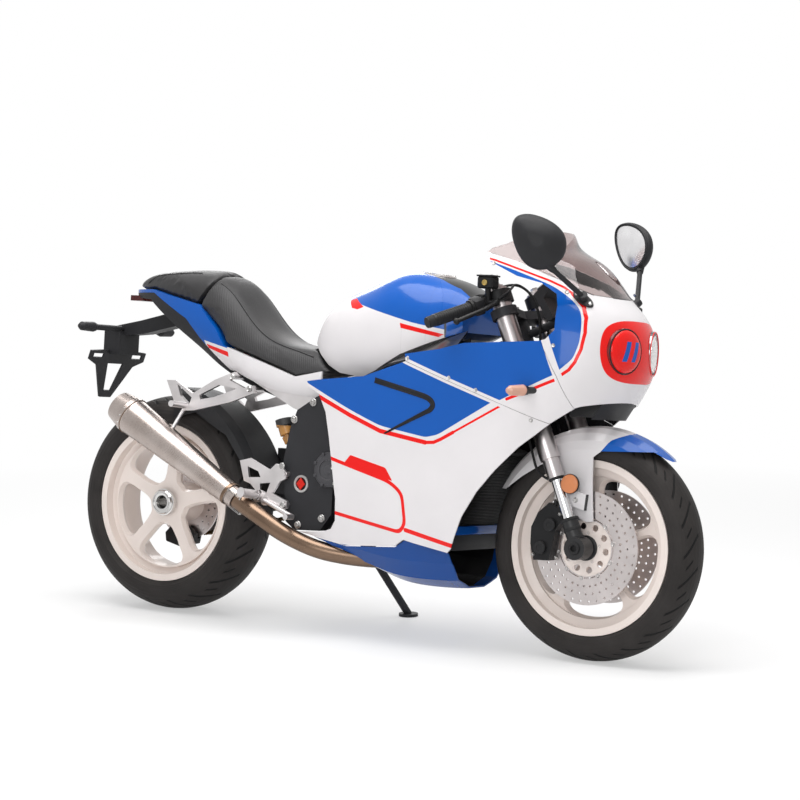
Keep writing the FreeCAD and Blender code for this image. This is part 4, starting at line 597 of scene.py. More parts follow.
def paint_lamp_cap():
    """Red cap over one lamp, with two slanting blue bars seen from the front."""
    coat = Coat("lamp_cap_paint", "red")
    front = use(coat.tree, "bike_space")["Front"]
    for y in (-108, -76):
        bar = field(coat.tree, front, [(y, 790), (y + 16, 790), (y + 30, 842), (y + 14, 842)], 1)
        coat.over(bar, "blue")
    return coat.finish()


# Metals, plastics and rubber

def metal_finish(name, colour, roughness=0.4, grain=700.0, bump=0.15, metallic=1.0, wear=0.0, dust=0.1,
                 clouds=14.0,
                 tones=(0.88, 1.08), dust_colour=(0.4, 0.37, 0.33, 1), depth=0.0006):
    """Cast, coated or turned metal with grain, clouding and worn edges."""
    material, tree, shader = new_finish(name, metallic=metallic, specular_ior_level=0.2)
    life = use(tree, "surface_life", {"Grain size": grain, "Cloud size": clouds, "Dust": dust})
    base = varied(tree, colour, life["Cloud"], *tones)
    if wear:
        base = blend(tree, use(tree, "edge_wear", {"Amount": wear})["Mask"], base, (0.6, 0.6, 0.6, 1))
    set_base(tree, shader, base, life, dust_colour)
    set_roughness(tree, shader, life["Cloud"], roughness - 0.06, roughness + 0.08)
    set_bump(tree, shader, bump, depth, life["Grain"])
    return material


def plastic_finish(name, colour, roughness=0.5, grain=1500.0, bump=0.25, dust=0.08):
    """Moulded plastic or rubber with a fine sparked texture."""
    return metal_finish(name, colour, roughness, grain, bump, metallic=0.0, dust=dust, clouds=11.0,
                        tones=(0.85, 1.15), dust_colour=(0.35, 0.33, 0.3, 1), depth=0.0004)


def brushed_finish(name, colour, turn, stretch, tint, roughness=0.28):
    """Brushed metal, its lines along one way, with a second tint in clouds."""
    material, tree, shader = new_finish(name, metallic=1.0)
    lines = use(tree, "brushed_lines", {"Turn": turn, "Stretch": stretch})["Lines"]
    life = use(tree, "surface_life", {"Cloud size": 10.0, "Dust": 0.06})
    base = varied(tree, colour, lines, 0.86, 1.1)
    feed(tree, shader.inputs["Base Color"], blend(tree, shift(tree, life["Cloud"], 0.35, 0.7), base, tint))
    set_roughness(tree, shader, lines, roughness - 0.06, roughness + 0.1)
    set_bump(tree, shader, 0.08, 0.0003, lines)
    return material


def glass_finish(name, colour, roughness=0.02, transmission=1.0):
    """Clear or tinted plastic with faint smears."""
    material, tree, shader = new_finish(name, transmission_weight=transmission, ior=1.45)
    life = use(tree, "surface_life", {"Cloud size": 16.0})
    feed(tree, shader.inputs["Base Color"], varied(tree, colour, life["Cloud"], 0.97, 1.03))
    feed(tree, shader.inputs["Roughness"], shift(tree, life["Cloud"], 0.35, 0.75, roughness,
                                                 roughness + 0.05))
    return material


def saw(tree, value):
    """How far a value lies from the middle between two whole numbers."""
    return calc(tree, "ABSOLUTE", calc(tree, "SUBTRACT", calc(tree, "FRACT", value), 0.5))


def groove_mask(tree, value, half_width, soft):
    """One where a value is small."""
    return shift(tree, value, half_width, half_width + soft, 1.0, 0.0)


def band(tree, value, low, high, soft=0.04):
    """One where a value lies between two levels, with soft ends."""
    return times(tree, shift(tree, value, low, low + soft), shift(tree, value, high, high + soft, 1.0, 0.0))


SIPE_STAGGER = 0.011
SIPE_SWEEP = 0.045
WALL_RINGS = 90.0
TREAD_FROM = (0.86, 0.87)


def tyre_finish(name, hub, radius, half_width):
    """Rubber with curved sipes over the tread and moulded rings on the wall; painted shade darkens the sipes.
    """
    material, tree, shader = new_finish(name, specular_ior_level=0.15)
    place = use(tree, "wheel_space", {"Hub": hub * MM})
    share = calc(tree, "DIVIDE", calc(tree, "ABSOLUTE", place["Across"]), half_width * MM)
    stagger = calc(tree, "MULTIPLY", calc(tree, "SIGN", place["Across"]), SIPE_STAGGER)
    sweep = calc(tree, "MULTIPLY", calc(tree, "POWER", share, 1.6), SIPE_SWEEP)
    bent_turn = calc(tree, "ADD", calc(tree, "ADD", place["Turn"], stagger), sweep)
    turns = calc(tree, "MULTIPLY", bent_turn, float(settings("fitting").rows_of_sipes))
    crown = shift(tree, place["Radius"], *(radius * MM * part for part in TREAD_FROM))
    long_sipes = times(tree, groove_mask(tree, saw(tree, turns), 0.045, 0.03), band(tree, share, 0.16, 0.84),
                       crown)
    half_turns = calc(tree, "SUBTRACT", turns, 0.5)
    short_sipes = times(tree, groove_mask(tree, saw(tree, half_turns), 0.035, 0.025),
                        band(tree, share, 0.5, 0.74), crown)
    grooves = calc(tree, "MAXIMUM", long_sipes, short_sipes)
    rings = groove_mask(tree, saw(tree, calc(tree, "MULTIPLY", place["Radius"], WALL_RINGS)), 0.04, 0.04)
    wall_rings = times(tree, rings, calc(tree, "SUBTRACT", 1.0, crown))
    life = use(tree, "surface_life", {"Grain size": 1100.0, "Cloud size": 12.0, "Dust": 0.12})
    rubber = varied(tree, (0.03, 0.027, 0.026, 1), life["Cloud"], 0.8, 1.25)
    # The sipes are painted near black: painted shade in their hollows, over the bump that shapes them.
    set_base(tree, shader, blend(tree, grooves, rubber, (0.008, 0.008, 0.008, 1)), life, (0.2, 0.18, 0.16, 1))
    set_roughness(tree, shader, life["Cloud"], 0.52, 0.68)
    height = calc(tree, "ADD", calc(tree, "MULTIPLY", grooves, -1.0), calc(tree, "MULTIPLY", wall_rings, 0.2))
    set_bump(tree, shader, 0.8, 0.003, calc(tree, "ADD", height, calc(tree, "MULTIPLY", life["Grain"], 0.05)))
    return material


def leather_finish(name, ribs=None):
    """Black seat cover, smooth or with sewn ribs outside a distance from the middle."""
    material, tree, shader = new_finish(name, sheen_weight=0.08, sheen_roughness=0.4, specular_ior_level=0.3)
    height = use(tree, "leather")["Height"]
    life = use(tree, "surface_life", {"Cloud size": 6.0, "Dust": 0.1})
    base = varied(tree, (0.03, 0.029, 0.03, 1), life["Cloud"], 0.8, 1.25)
    base = blend(tree, life["Dust"], base, (0.25, 0.24, 0.23, 1))
    if ribs:
        parts = parts_of(tree, use(tree, "bike_space")["Position"])
        side_of = shift(tree, calc(tree, "ABSOLUTE", parts["Y"]), ribs * MM, (ribs + 2) * MM)
        along = calc(tree, "ADD", parts["X"], calc(tree, "MULTIPLY", parts["Z"], 0.35))
        wave = calc(tree, "ABSOLUTE", calc(tree, "SINE", times(tree, along, 160.0, math.pi)))
        height = calc(tree, "ADD", height, times(tree, wave, side_of, 1.1))
        base = blend(tree, side_of, base, (0.036, 0.035, 0.036, 1))
    feed(tree, shader.inputs["Base Color"], base)
    set_roughness(tree, shader, life["Cloud"], 0.42, 0.56)
    set_bump(tree, shader, 0.5, 0.0008, height)
    return material


def split_finish(name, place_of, stages, dust=0.08):
    """One material whose look changes along a way: each stage is (start, colour, metallic, roughness)."""
    material, tree, shader = new_finish(name)
    life = use(tree, "surface_life", {"Grain size": 900.0, "Cloud size": 15.0, "Dust": dust})
    where = place_of(tree)
    colour, metallic, roughness = stages[0][1:]
    for start, next_colour, next_metallic, next_roughness in stages[1:]:
        mask = shift(tree, where, (start - 0.3) * MM, (start + 0.3) * MM)
        colour = blend(tree, mask, colour, next_colour)
        metallic = node_mix(tree, mask, metallic, next_metallic)
        roughness = node_mix(tree, mask, roughness, next_roughness)
    set_base(tree, shader, varied(tree, colour, life["Cloud"], 0.9, 1.08), life, (0.4, 0.38, 0.35, 1))
    feed(tree, shader.inputs["Metallic"], metallic)
    feed(tree, shader.inputs["Roughness"], roughness)
    set_bump(tree, shader, 0.08, 0.0004, life["Grain"])
    return material


def node_mix(tree, mask, first, second):
    made = node(tree, "ShaderNodeMix", data_type="FLOAT")
    feed(tree, made.inputs["Factor"], mask)
    feed(tree, made.inputs["A"], first)
    feed(tree, made.inputs["B"], second)
    return made.outputs["Result"]


def along_fork(tree):
    """Distance up the fork from the front axle's height."""
    position = use(tree, "bike_space")["Position"]
    reach = vector_calc(tree, "SUBTRACT", position, tuple(FRONT_AXLE * MM))
    return vector_calc(tree, "DOT_PRODUCT", reach, tuple(UP_FORK))


def bike_axis(tree, axis):
    """Distance along one axis of the upright motorcycle."""
    return parts_of(tree, use(tree, "bike_space")["Position"])[axis]


def beside_middle(tree):
    return calc(tree, "ABSOLUTE", bike_axis(tree, "Y"))


def forward_of(tree):
    return bike_axis(tree, "X")


def height_above(tree):
    return bike_axis(tree, "Z")


def from_front_hub(tree):
    return use(tree, "wheel_space", {"Hub": FRONT_AXLE * MM})["Radius"]


FINISHES = {}


def make_finishes():
    FINISHES.update({
        "side_fairing": paint_side_fairing(),
        "cowl_side": paint_cowl_side(),
        "nose": paint_nose(),
        "tank": paint_tank(),
        "tank_front": paint_tank_front(),
        "tail": paint_tail(),
        "seat_panels": Coat("seat_panel_paint", "white").finish(),
        "belly": paint_belly(),
        "fender": paint_fender(),
        "wheel": Coat("wheel_paint", "cream").finish(roughness=0.35, dust=0.12),
        "silver_casting": metal_finish("silver_casting", shade("silver"), roughness=0.38, grain=500.0,
                                       wear=0.3),
        "dark_coating": metal_finish("dark_coating", shade("dark"), roughness=0.5, metallic=0.1, wear=0.15),
        "engine_casting": metal_finish("engine_casting", (0.075, 0.074, 0.08, 1), roughness=0.46, grain=420.0,
                                       bump=0.3, metallic=0.4, wear=0.25, dust=0.15),
        "black_coating": metal_finish("black_coating", BLACK, roughness=0.36, metallic=0.05, wear=0.1),
        "polished": metal_finish("polished_steel", (0.72, 0.71, 0.7, 1), roughness=0.14, bump=0.02),
        "turned_steel": metal_finish("turned_steel", (0.72, 0.68, 0.66, 1), roughness=0.26, bump=0.05),
        "bolt_steel": metal_finish("bolt_steel", (0.5, 0.49, 0.48, 1), roughness=0.3, bump=0.05),
        "black_plastic": plastic_finish("black_plastic", (0.022, 0.022, 0.024, 1)),
        "gloss_black": plastic_finish("gloss_black", (0.014, 0.014, 0.016, 1), roughness=0.2, bump=0.03),
        "rubber": plastic_finish("soft_rubber", (0.02, 0.02, 0.021, 1), roughness=0.62, grain=900.0),
        "tinted_screen": glass_finish("tinted_screen", (0.5, 0.41, 0.4, 1)),
        "clear_lens": glass_finish("clear_lens", (0.95, 0.95, 0.95, 1)),
        "red_lens": glass_finish("red_lens", (0.09, 0.008, 0.007, 1), roughness=0.06, transmission=0.5),
        "mirror_glass": metal_finish("mirror_glass", (0.95, 0.94, 0.95, 1), roughness=0.22, bump=0.0,
                                     dust=0.0),
        "seat_cover": leather_finish("seat_cover", ribs=84),
        "pad_cover": leather_finish("pad_cover"),
        "seam_piping": leather_finish("seam_piping"),
        "front_rubber": tyre_finish("front_rubber", FRONT_AXLE, 300, 60),
        "rear_rubber": tyre_finish("rear_rubber", REAR_AXLE, REAR_RADIUS, 90),
        "pipe": metal_finish("heated_pipe", shade("bronze"), roughness=0.28, grain=300.0, bump=0.05),
        "can": brushed_finish("brushed_can", (0.4, 0.34, 0.31, 1), (0, math.radians(34), 0), (12, 700, 700),
                              (0.5, 0.44, 0.41, 1)),
        "disc": metal_finish("disc_steel", (0.62, 0.57, 0.56, 1), roughness=0.3, grain=260.0, bump=0.06),
        "chain": metal_finish("chain_steel", (0.3, 0.2, 0.1, 1), roughness=0.34, dust=0.2),
        "red_part": metal_finish("red_anodised", (0.7, 0.03, 0.02, 1), roughness=0.25, metallic=0.6),
        "fork": split_finish("fork_stages", along_fork, [
            (0, BLACK, 0.2, 0.42), (80, (0.72, 0.72, 0.73, 1), 1.0, 0.08),
            (194, (0.54, 0.5, 0.5, 1), 1.0, 0.3)]),
        "lamp": metal_finish("lamp_bowl", (0.3, 0.3, 0.31, 1), roughness=0.16, bump=0.02),
        "fluid_bottle": split_finish("fluid_bottle", height_above, [
            (0, (0.42, 0.2, 0.05, 1), 0.0, 0.25), (566, BLACK, 0.0, 0.5)]),
        "indicator": split_finish("indicator_body", beside_middle, [
            (0, BLACK, 0.0, 0.35), (236, (0.62, 0.34, 0.25, 1), 0.0, 0.12)]),
        "carrier_disc": split_finish("disc_and_carrier", from_front_hub, [
            (0, shade("cream"), 0.0, 0.4), (74, (0.64, 0.59, 0.58, 1), 1.0, 0.3)], dust=0.14),
        "lamp_cap": paint_lamp_cap(),
        "amber_plate": plastic_finish("amber_plate", (0.62, 0.23, 0.1, 1), roughness=0.2, bump=0.05),
        "dial": plastic_finish("dial_face", (0.035, 0.035, 0.037, 1), roughness=0.3, bump=0.02),
        "sight_gold": metal_finish("sight_gold", (0.6, 0.44, 0.16, 1), roughness=0.2, bump=0.02),
    })


NODE_FINISHES = {
    "dark_coating": ("main_frame", "swingarm", "fork_yokes", "rear_shock", "side_stand", "instrument_panel"),
    "silver_casting": ("subframe", "rearset_right", "rearset_left", "pillion_rests"),
    "engine_casting": ("engine",),
    "black_plastic": ("nose_liner", "undertray", "plate_hanger", "rear_hugger", "mirrors"),
    "black_coating": ("radiator", "handlebar_right", "handlebar_left", "front_calipers", "rear_caliper"),
    "side_fairing": ("side_fairing_right", "side_fairing_left"),
    "cowl_side": ("cowl_side_panels",),
    "nose": ("nose_fairing",),
    "tank": ("fuel_tank",),
    "tank_front": ("cockpit_trim",),
    "tail": ("tail_cowl",),
    "seat_panels": ("seat_panels",),
    "belly": ("belly_pan",),
    "fender": ("front_fender",),
    "wheel": ("front_rim", "rear_rim"),
    "front_rubber": ("front_tyre",),
    "rear_rubber": ("rear_tyre",),
    "disc": ("rear_disc", "rear_sprocket"),
    "carrier_disc": ("front_discs",),
    "polished": ("rear_spindle", "front_axle"),
    "turned_steel": ("filler_cap",),
    "tinted_screen": ("windscreen",),
    "lamp": ("headlamps",),
    "indicator": ("front_indicators",),
    "red_lens": ("tail_lamp",),
    "seat_cover": ("rider_seat", "pillion_pad"),
    "fork": ("fork_legs",),
    "rubber": ("brake_hoses",),
    "fluid_bottle": ("brake_reservoir",),
    "pipe": ("exhaust_pipe",),
    "can": ("silencer",),
    "chain": ("drive_chain",),
}


class MOTORCYCLE_OT_finishes(Operator):
    """Give every CAD node its finish"""
    bl_idname = "motorcycle.finishes"
    bl_label = "Finishes"

    def execute(self, context):
        build_groups()
        make_finishes()
        left = set(NODES)
        for finish, names in NODE_FINISHES.items():
            for name in names:
                dress(name, FINISHES[finish])
                left.discard(name)
        if left:
            raise RuntimeError(f"no finish for {sorted(left)}")
        return {"FINISHED"}


# Shapes made with bmesh

def finish_piece(bm, name, finish, body, smooth=40):
    """Turn a bmesh in the motorcycle's frame into a piece that rides on a body."""
    bmesh.ops.remove_doubles(bm, verts=bm.verts, dist=0.01)
    bmesh.ops.recalc_face_normals(bm, faces=bm.faces)
    mesh = bpy.data.meshes.new(name)
    bm.to_mesh(mesh)
    bm.free()
    mesh.transform(BIKE)
    mesh.shade_smooth()
    mesh.set_sharp_from_angle(angle=math.radians(smooth))
    mesh.materials.append(FINISHES[finish])
    piece = bpy.data.objects.new(name, mesh)
    bpy.context.scene.collection.objects.link(piece)
    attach(piece, body)
    return piece


def facing(place, way, turn=0.0):
    """A matrix at a point with its Z along a direction."""
    way = Vector(way).normalized()
    return (Matrix.Translation(Vector(place)) @ way.to_track_quat("Z", "Y").to_matrix().to_4x4()
            @ Matrix.Rotation(turn, 4, "Z"))


def add_part(bm, part, matrix):
    """Place a finished bmesh and add it to another."""
    part.transform(matrix)
    mesh = bpy.data.meshes.new("part")
    part.to_mesh(mesh)
    part.free()
    bm.from_mesh(mesh)
    bpy.data.meshes.remove(mesh)


def bevel_all(part, width):
    """Round every edge of a bmesh."""
    bmesh.ops.bevel(part, geom=part.edges[:], offset=width, offset_type="OFFSET", segments=2, profile=0.5,
                    affect="EDGES", material=-1, clamp_overlap=True)


def lathe(bm, matrix, profile, steps=32):
    """Spin a profile of (radius, height) round the matrix's Z."""
    part = bmesh.new()
    rim = [part.verts.new((radius, 0, height)) for radius, height in profile]
    edges = [part.edges.new(pair) for pair in zip(rim, rim[1:])]
    bmesh.ops.spin(part, geom=rim + edges, cent=(0, 0, 0), axis=(0, 0, 1), angle=2 * math.pi, steps=steps,
                   use_merge=True, use_duplicate=False)
    bmesh.ops.remove_doubles(part, verts=part.verts, dist=0.012)
    add_part(bm, part, matrix)


def screw_head(bm, matrix, radius, height=2.6, socket=True):
    """A domed button head with a round socket sunk in its top."""
    part = bmesh.new()
    bmesh.ops.create_cone(part, cap_ends=True, segments=24, radius1=radius, radius2=radius * 0.72,
                          depth=height,
                          matrix=Matrix.Translation((0, 0, height / 2)))
    if socket:
        top = max(part.faces, key=lambda face: face.calc_center_median().z)
        bmesh.ops.inset_individual(part, faces=[top], thickness=radius * 0.32)
        bmesh.ops.translate(part, verts=top.verts, vec=(0, 0, -height * 0.6))
    add_part(bm, part, matrix)


def prism(bm, matrix, outline, thickness, bevel=0.0):
    """Extrude an outline given in the matrix's XY along its Z, with bevelled edges."""
    part = bmesh.new()
    face = part.faces.new([part.verts.new((x, y, 0)) for x, y in outline])
    made = bmesh.ops.extrude_face_region(part, geom=[face])["geom"]
    lifted = [item for item in made if isinstance(item, bmesh.types.BMVert)]
    bmesh.ops.translate(part, verts=lifted, vec=(0, 0, thickness))
    if bevel:
        bevel_all(part, bevel)
    add_part(bm, part, matrix)


def slab(bm, centre, size, matrix=Matrix.Identity(4), bevel=1.5):
    """A bevelled block of that size."""
    part = bmesh.new()
    bmesh.ops.create_cube(part, size=1, matrix=Matrix.Diagonal((*size, 1)))
    bevel_all(part, bevel)
    add_part(bm, part, Matrix.Translation(Vector(centre)) @ matrix)


def tube(bm, points, radius, sides=10, closed=False):
    """Sweep a ring along a smooth curve through those points."""
    curve = bpy.data.curves.new("run", "CURVE")
    curve.dimensions = "3D"
    curve.bevel_depth = radius
    curve.bevel_resolution = max(1, sides // 4)
    curve.use_fill_caps = not closed
    spline = curve.splines.new("NURBS")
    spline.points.add(len(points) - 1)
    for spot, point in zip(spline.points, points):
        spot.co = (*point, 1)
    spline.order_u = 3
    spline.use_endpoint_u = not closed
    spline.use_cyclic_u = closed
    spline.resolution_u = 6
    carrier = bpy.data.objects.new("run", curve)
    bpy.context.scene.collection.objects.link(carrier)
    mesh = bpy.data.meshes.new_from_object(carrier)
    bm.from_mesh(mesh)
    bpy.data.objects.remove(carrier)
    bpy.data.meshes.remove(mesh)
    bpy.data.curves.remove(curve)


SKINS = {}


def skin(name):
    """The search tree of a CAD node's surface, in the motorcycle's frame."""
    if name not in SKINS:
        bm = bmesh.new()
        bm.from_mesh(NODES[name].data)
        bm.transform(TO_BIKE)
        SKINS[name] = BVHTree.FromBMesh(bm)
        bm.free()
    return SKINS[name]


def on_skin(name, x, z, side):
    """The point and outward normal where a line from the side first meets a node."""
    place, normal, _, _ = skin(name).ray_cast(Vector((x, side * 600, z)), Vector((0, -side, 0)))
    if place is None:
        raise RuntimeError(f"{name} has nothing at x {x}, z {z}")
    if normal.y * side < 0:
        normal = -normal
    return place, normal


# Small fittings on the bodywork

PANEL_SCREWS = {
    "cowl_side_panels": ((905, 771), (1125, 696), (1040, 724)),
    "side_fairing_right": ((1290, 626),),
    "nose_fairing": ((1345, 822), (1130, 1032), (1352, 962)),
}


def ribbon(bm, name, side, line, widths, lift=1.4):
    """A thin hollowed strip on a node's side along a line, with its half width at even shares of it."""
    rows = []
    for step, (x, z) in enumerate(line):
        share = step / (len(line) - 1) * (len(widths) - 1)
        low = min(int(share), len(widths) - 2)
        half = widths[low] + (widths[low + 1] - widths[low]) * (share - low)
        back = line[max(step - 1, 0)]
        ahead = line[min(step + 1, len(line) - 1)]
        run = Vector((ahead[0] - back[0], ahead[1] - back[1])).normalized()
        across = Vector((-run.y, run.x))
        row = []
        for part, rise in ((-1, -0.4), (-0.9, lift), (-0.6, lift), (-0.45, 0.3), (0.45, 0.3), (0.6, lift),
                           (0.9, lift),
                           (1, -0.4)):
            place, normal = on_skin(name, x + across.x * half * part, z + across.y * half * part, side)
            row.append(bm.verts.new(place + normal * rise))
        rows.append(row)
    for first, second in zip(rows, rows[1:]):
        for a, b, c, d in zip(first, first[1:], second[1:], second):
            bm.faces.new((a, b, c, d))
    for row in (rows[0], rows[-1]):
        bm.faces.new(row)


class MOTORCYCLE_OT_panel_screws(Operator):
    """Set button-head screws along the panel edges"""
    bl_idname = "motorcycle.panel_screws"
    bl_label = "Panel screws"

    def execute(self, context):
        bm = bmesh.new()
        radius = settings("fitting").screw_radius / MM
        for node_name, spots in PANEL_SCREWS.items():
            for side in SIDES:
                target = node_name.replace("right", "left") if side > 0 else node_name
                for x, z in spots:
                    place, normal = on_skin(target, x, z, side)
                    screw_head(bm, facing(place - normal * 0.4, normal), radius)
        finish_piece(bm, "panel_screws", "bolt_steel", "chassis")
        return {"FINISHED"}


# Places on the steering

STEER_OFFSET = 30
FORK_SPREAD = 105
FORK_TOP = 725
BAR_SWEEP = math.radians(29)
BAR_DROOP = math.radians(20)
AHEAD = Vector((UP_FORK.z, 0, -UP_FORK.x))
STEER_BASE = FRONT_AXLE - AHEAD * STEER_OFFSET


def on_fork(along, ahead=0, y=0):
    """A point up the fork from axle height, ahead of the steering axis."""
    return STEER_BASE + UP_FORK * along + AHEAD * ahead + ACROSS * y


def on_leg(along, side, out=0, ahead=0):
    """A point beside the middle of a fork leg."""
    return on_fork(along, STEER_OFFSET + ahead, side * (FORK_SPREAD + out))


def bar_way(side):
    return Vector((-math.sin(BAR_SWEEP) * math.cos(BAR_DROOP),
                   side * math.cos(BAR_SWEEP) * math.cos(BAR_DROOP),
                   -math.sin(BAR_DROOP)))


def bar_point(side, out, up=0, ahead=0):
    """A point along a handlebar, measured out from the fork leg."""
    return on_leg(701, side) + bar_way(side) * out + Vector((ahead, 0, up))


VALVE_RADIUS = 196
FRONT_VALVE_TURN = 2.2
REAR_VALVE_TURN = 3.9


def on_wheel(turn):
    """The direction from a wheel's middle towards a place on its rim."""
    return Vector((math.cos(turn), 0, math.sin(turn)))


def ring_of(count, radius, start=0.0):
    """Evenly spaced places on a circle, as (along, up) pairs."""
    return [(radius * math.cos(start + 2 * math.pi * step / count),
             radius * math.sin(start + 2 * math.pi * step / count))
            for step in range(count)]


def bolt_circle(bm, centre, y, side, count, radius, size, start=0.0, socket=True):
    """Bolt heads on a circle round an axle line."""
    for along, up in ring_of(count, radius, start):
        screw_head(bm, facing((centre[0] + along, y, centre[1] + up), (0, side, 0)), size, socket=socket)


# Mirrors

MIRROR_TURN = math.radians(66)
MIRROR_TAPER = 0.26
MIRROR_HEADS = ((-1, Vector((1311, -259, 1088))), (1, Vector((1317, 259, 1116))))
MIRROR_RIM = -8


def mirror_oval(side, long_half, short_half, steps=48):
    outline = []
    for step in range(steps):
        turn = 2 * math.pi * step / steps
        taper = 1 - side * MIRROR_TAPER * math.cos(turn)
        outline.append((long_half * math.cos(turn), short_half * taper * math.sin(turn)))
    return outline


class MOTORCYCLE_OT_mirror_glass(Operator):
    """Set the glass and a rounded rim in each mirror, and bolt down its foot"""
    bl_idname = "motorcycle.mirror_glass"
    bl_label = "Mirror glass"

    def execute(self, context):
        glass = bmesh.new()
        rims = bmesh.new()
        bolts = bmesh.new()
        for side, head_at in MIRROR_HEADS:
            head = (Matrix.Translation(head_at) @ Matrix.Rotation(side * MIRROR_TURN, 4, "Z")
                    @ Matrix.Rotation(math.radians(40 * side - 4), 4, "X"))
            flat_on = head @ Matrix(((0, 0, 1, MIRROR_RIM - 1.2), (1, 0, 0, 0), (0, 1, 0, 0), (0, 0, 0, 1)))
            prism(glass, flat_on, mirror_oval(side, 69, 50), 2.4, bevel=0.8)
            rim = [flat_on @ Vector((along, up, 1.0)) for along, up in mirror_oval(side, 75, 56, 24)]
            tube(rims, rim, 3.2, sides=12, closed=True)
            for along in (-21, 21):
                way = Vector((12, side * 36, 32)).normalized()
                run = Vector((1, 0, -0.4))
                run = (run - way * run.dot(way)).normalized()
                spot = Vector((1392, side * 140, 940)) + run * along
                target = skin("mirrors").ray_cast(spot + way * 60, -way)
                screw_head(bolts, facing(target[0], way), 6.5, 3.5)
        finish_piece(glass, "mirror_glass", "mirror_glass", "chassis")
        finish_piece(rims, "mirror_rims", "black_plastic", "chassis")
        finish_piece(bolts, "mirror_foot_bolts", "bolt_steel", "chassis")
        return {"FINISHED"}


# Headlamps

LAMP_SPLAY = math.radians(16)


def lamp_face(side):
    """A matrix in the middle of a headlamp's face, its Z forwards."""
    way = Vector((math.cos(LAMP_SPLAY), side * math.sin(LAMP_SPLAY), 0))
    return facing(Vector((1491, side * 82, 816)), way)


class MOTORCYCLE_OT_lamp_lenses(Operator):
    """Fit the red cap over one headlamp, and the reflector, bulb shield and lens of the other"""
    bl_idname = "motorcycle.lamp_lenses"
    bl_label = "Lamp lenses"

    def execute(self, context):
        cap = bmesh.new()
        lathe(cap, lamp_face(-1) @ Matrix.Translation((0, 0, 2)), [
            (0.01, 13), (16, 12.6), (32, 10.6), (44, 7.6), (51, 4.4), (55, 1.2), (56.2, -2), (56.2, -8),
            (0.01, -8)], 64)
        finish_piece(cap, "lamp_cap", "lamp_cap", "chassis", smooth=50)
        seal = bmesh.new()
        rim = bmesh.new()
        for side in SIDES:
            lathe(seal if side < 0 else rim, lamp_face(side), [
                (56.6, -8), (56.6, 1.4), (58.2, 2.4), (59.6, 1.4), (59.6, -8), (56.6, -8)], 64)
        finish_piece(seal, "lamp_seal", "rubber", "chassis")
        finish_piece(rim, "lamp_rim", "lamp_cap", "chassis")
        lens = bmesh.new()
        lathe(lens, lamp_face(1) @ Matrix.Translation((0, 0, -1)), [
            (0.01, 5), (20, 4.6), (36, 3.4), (47, 1.6), (53, 0), (54, -2), (51.6, -2), (44, 0.4), (34, 1.6),
            (20, 2.6), (0.01, 3)], 64)
        finish_piece(lens, "lamp_lens", "clear_lens", "chassis", smooth=60)
        shield = bmesh.new()
        lathe(shield, lamp_face(1) @ Matrix.Translation((0, 0, -8)), [
            (50, 6), (44, 2.6), (36, 1.2), (24, 0.6), (23, 3.4), (21, 3.8), (20, 1), (12, 1), (11, 6),
            (8, 8.4), (0.01, 9)], 48)
        finish_piece(shield, "lamp_shield", "polished", "chassis")
        return {"FINISHED"}


# Fork, fender and front brake fittings

PLATE_BACK = 77


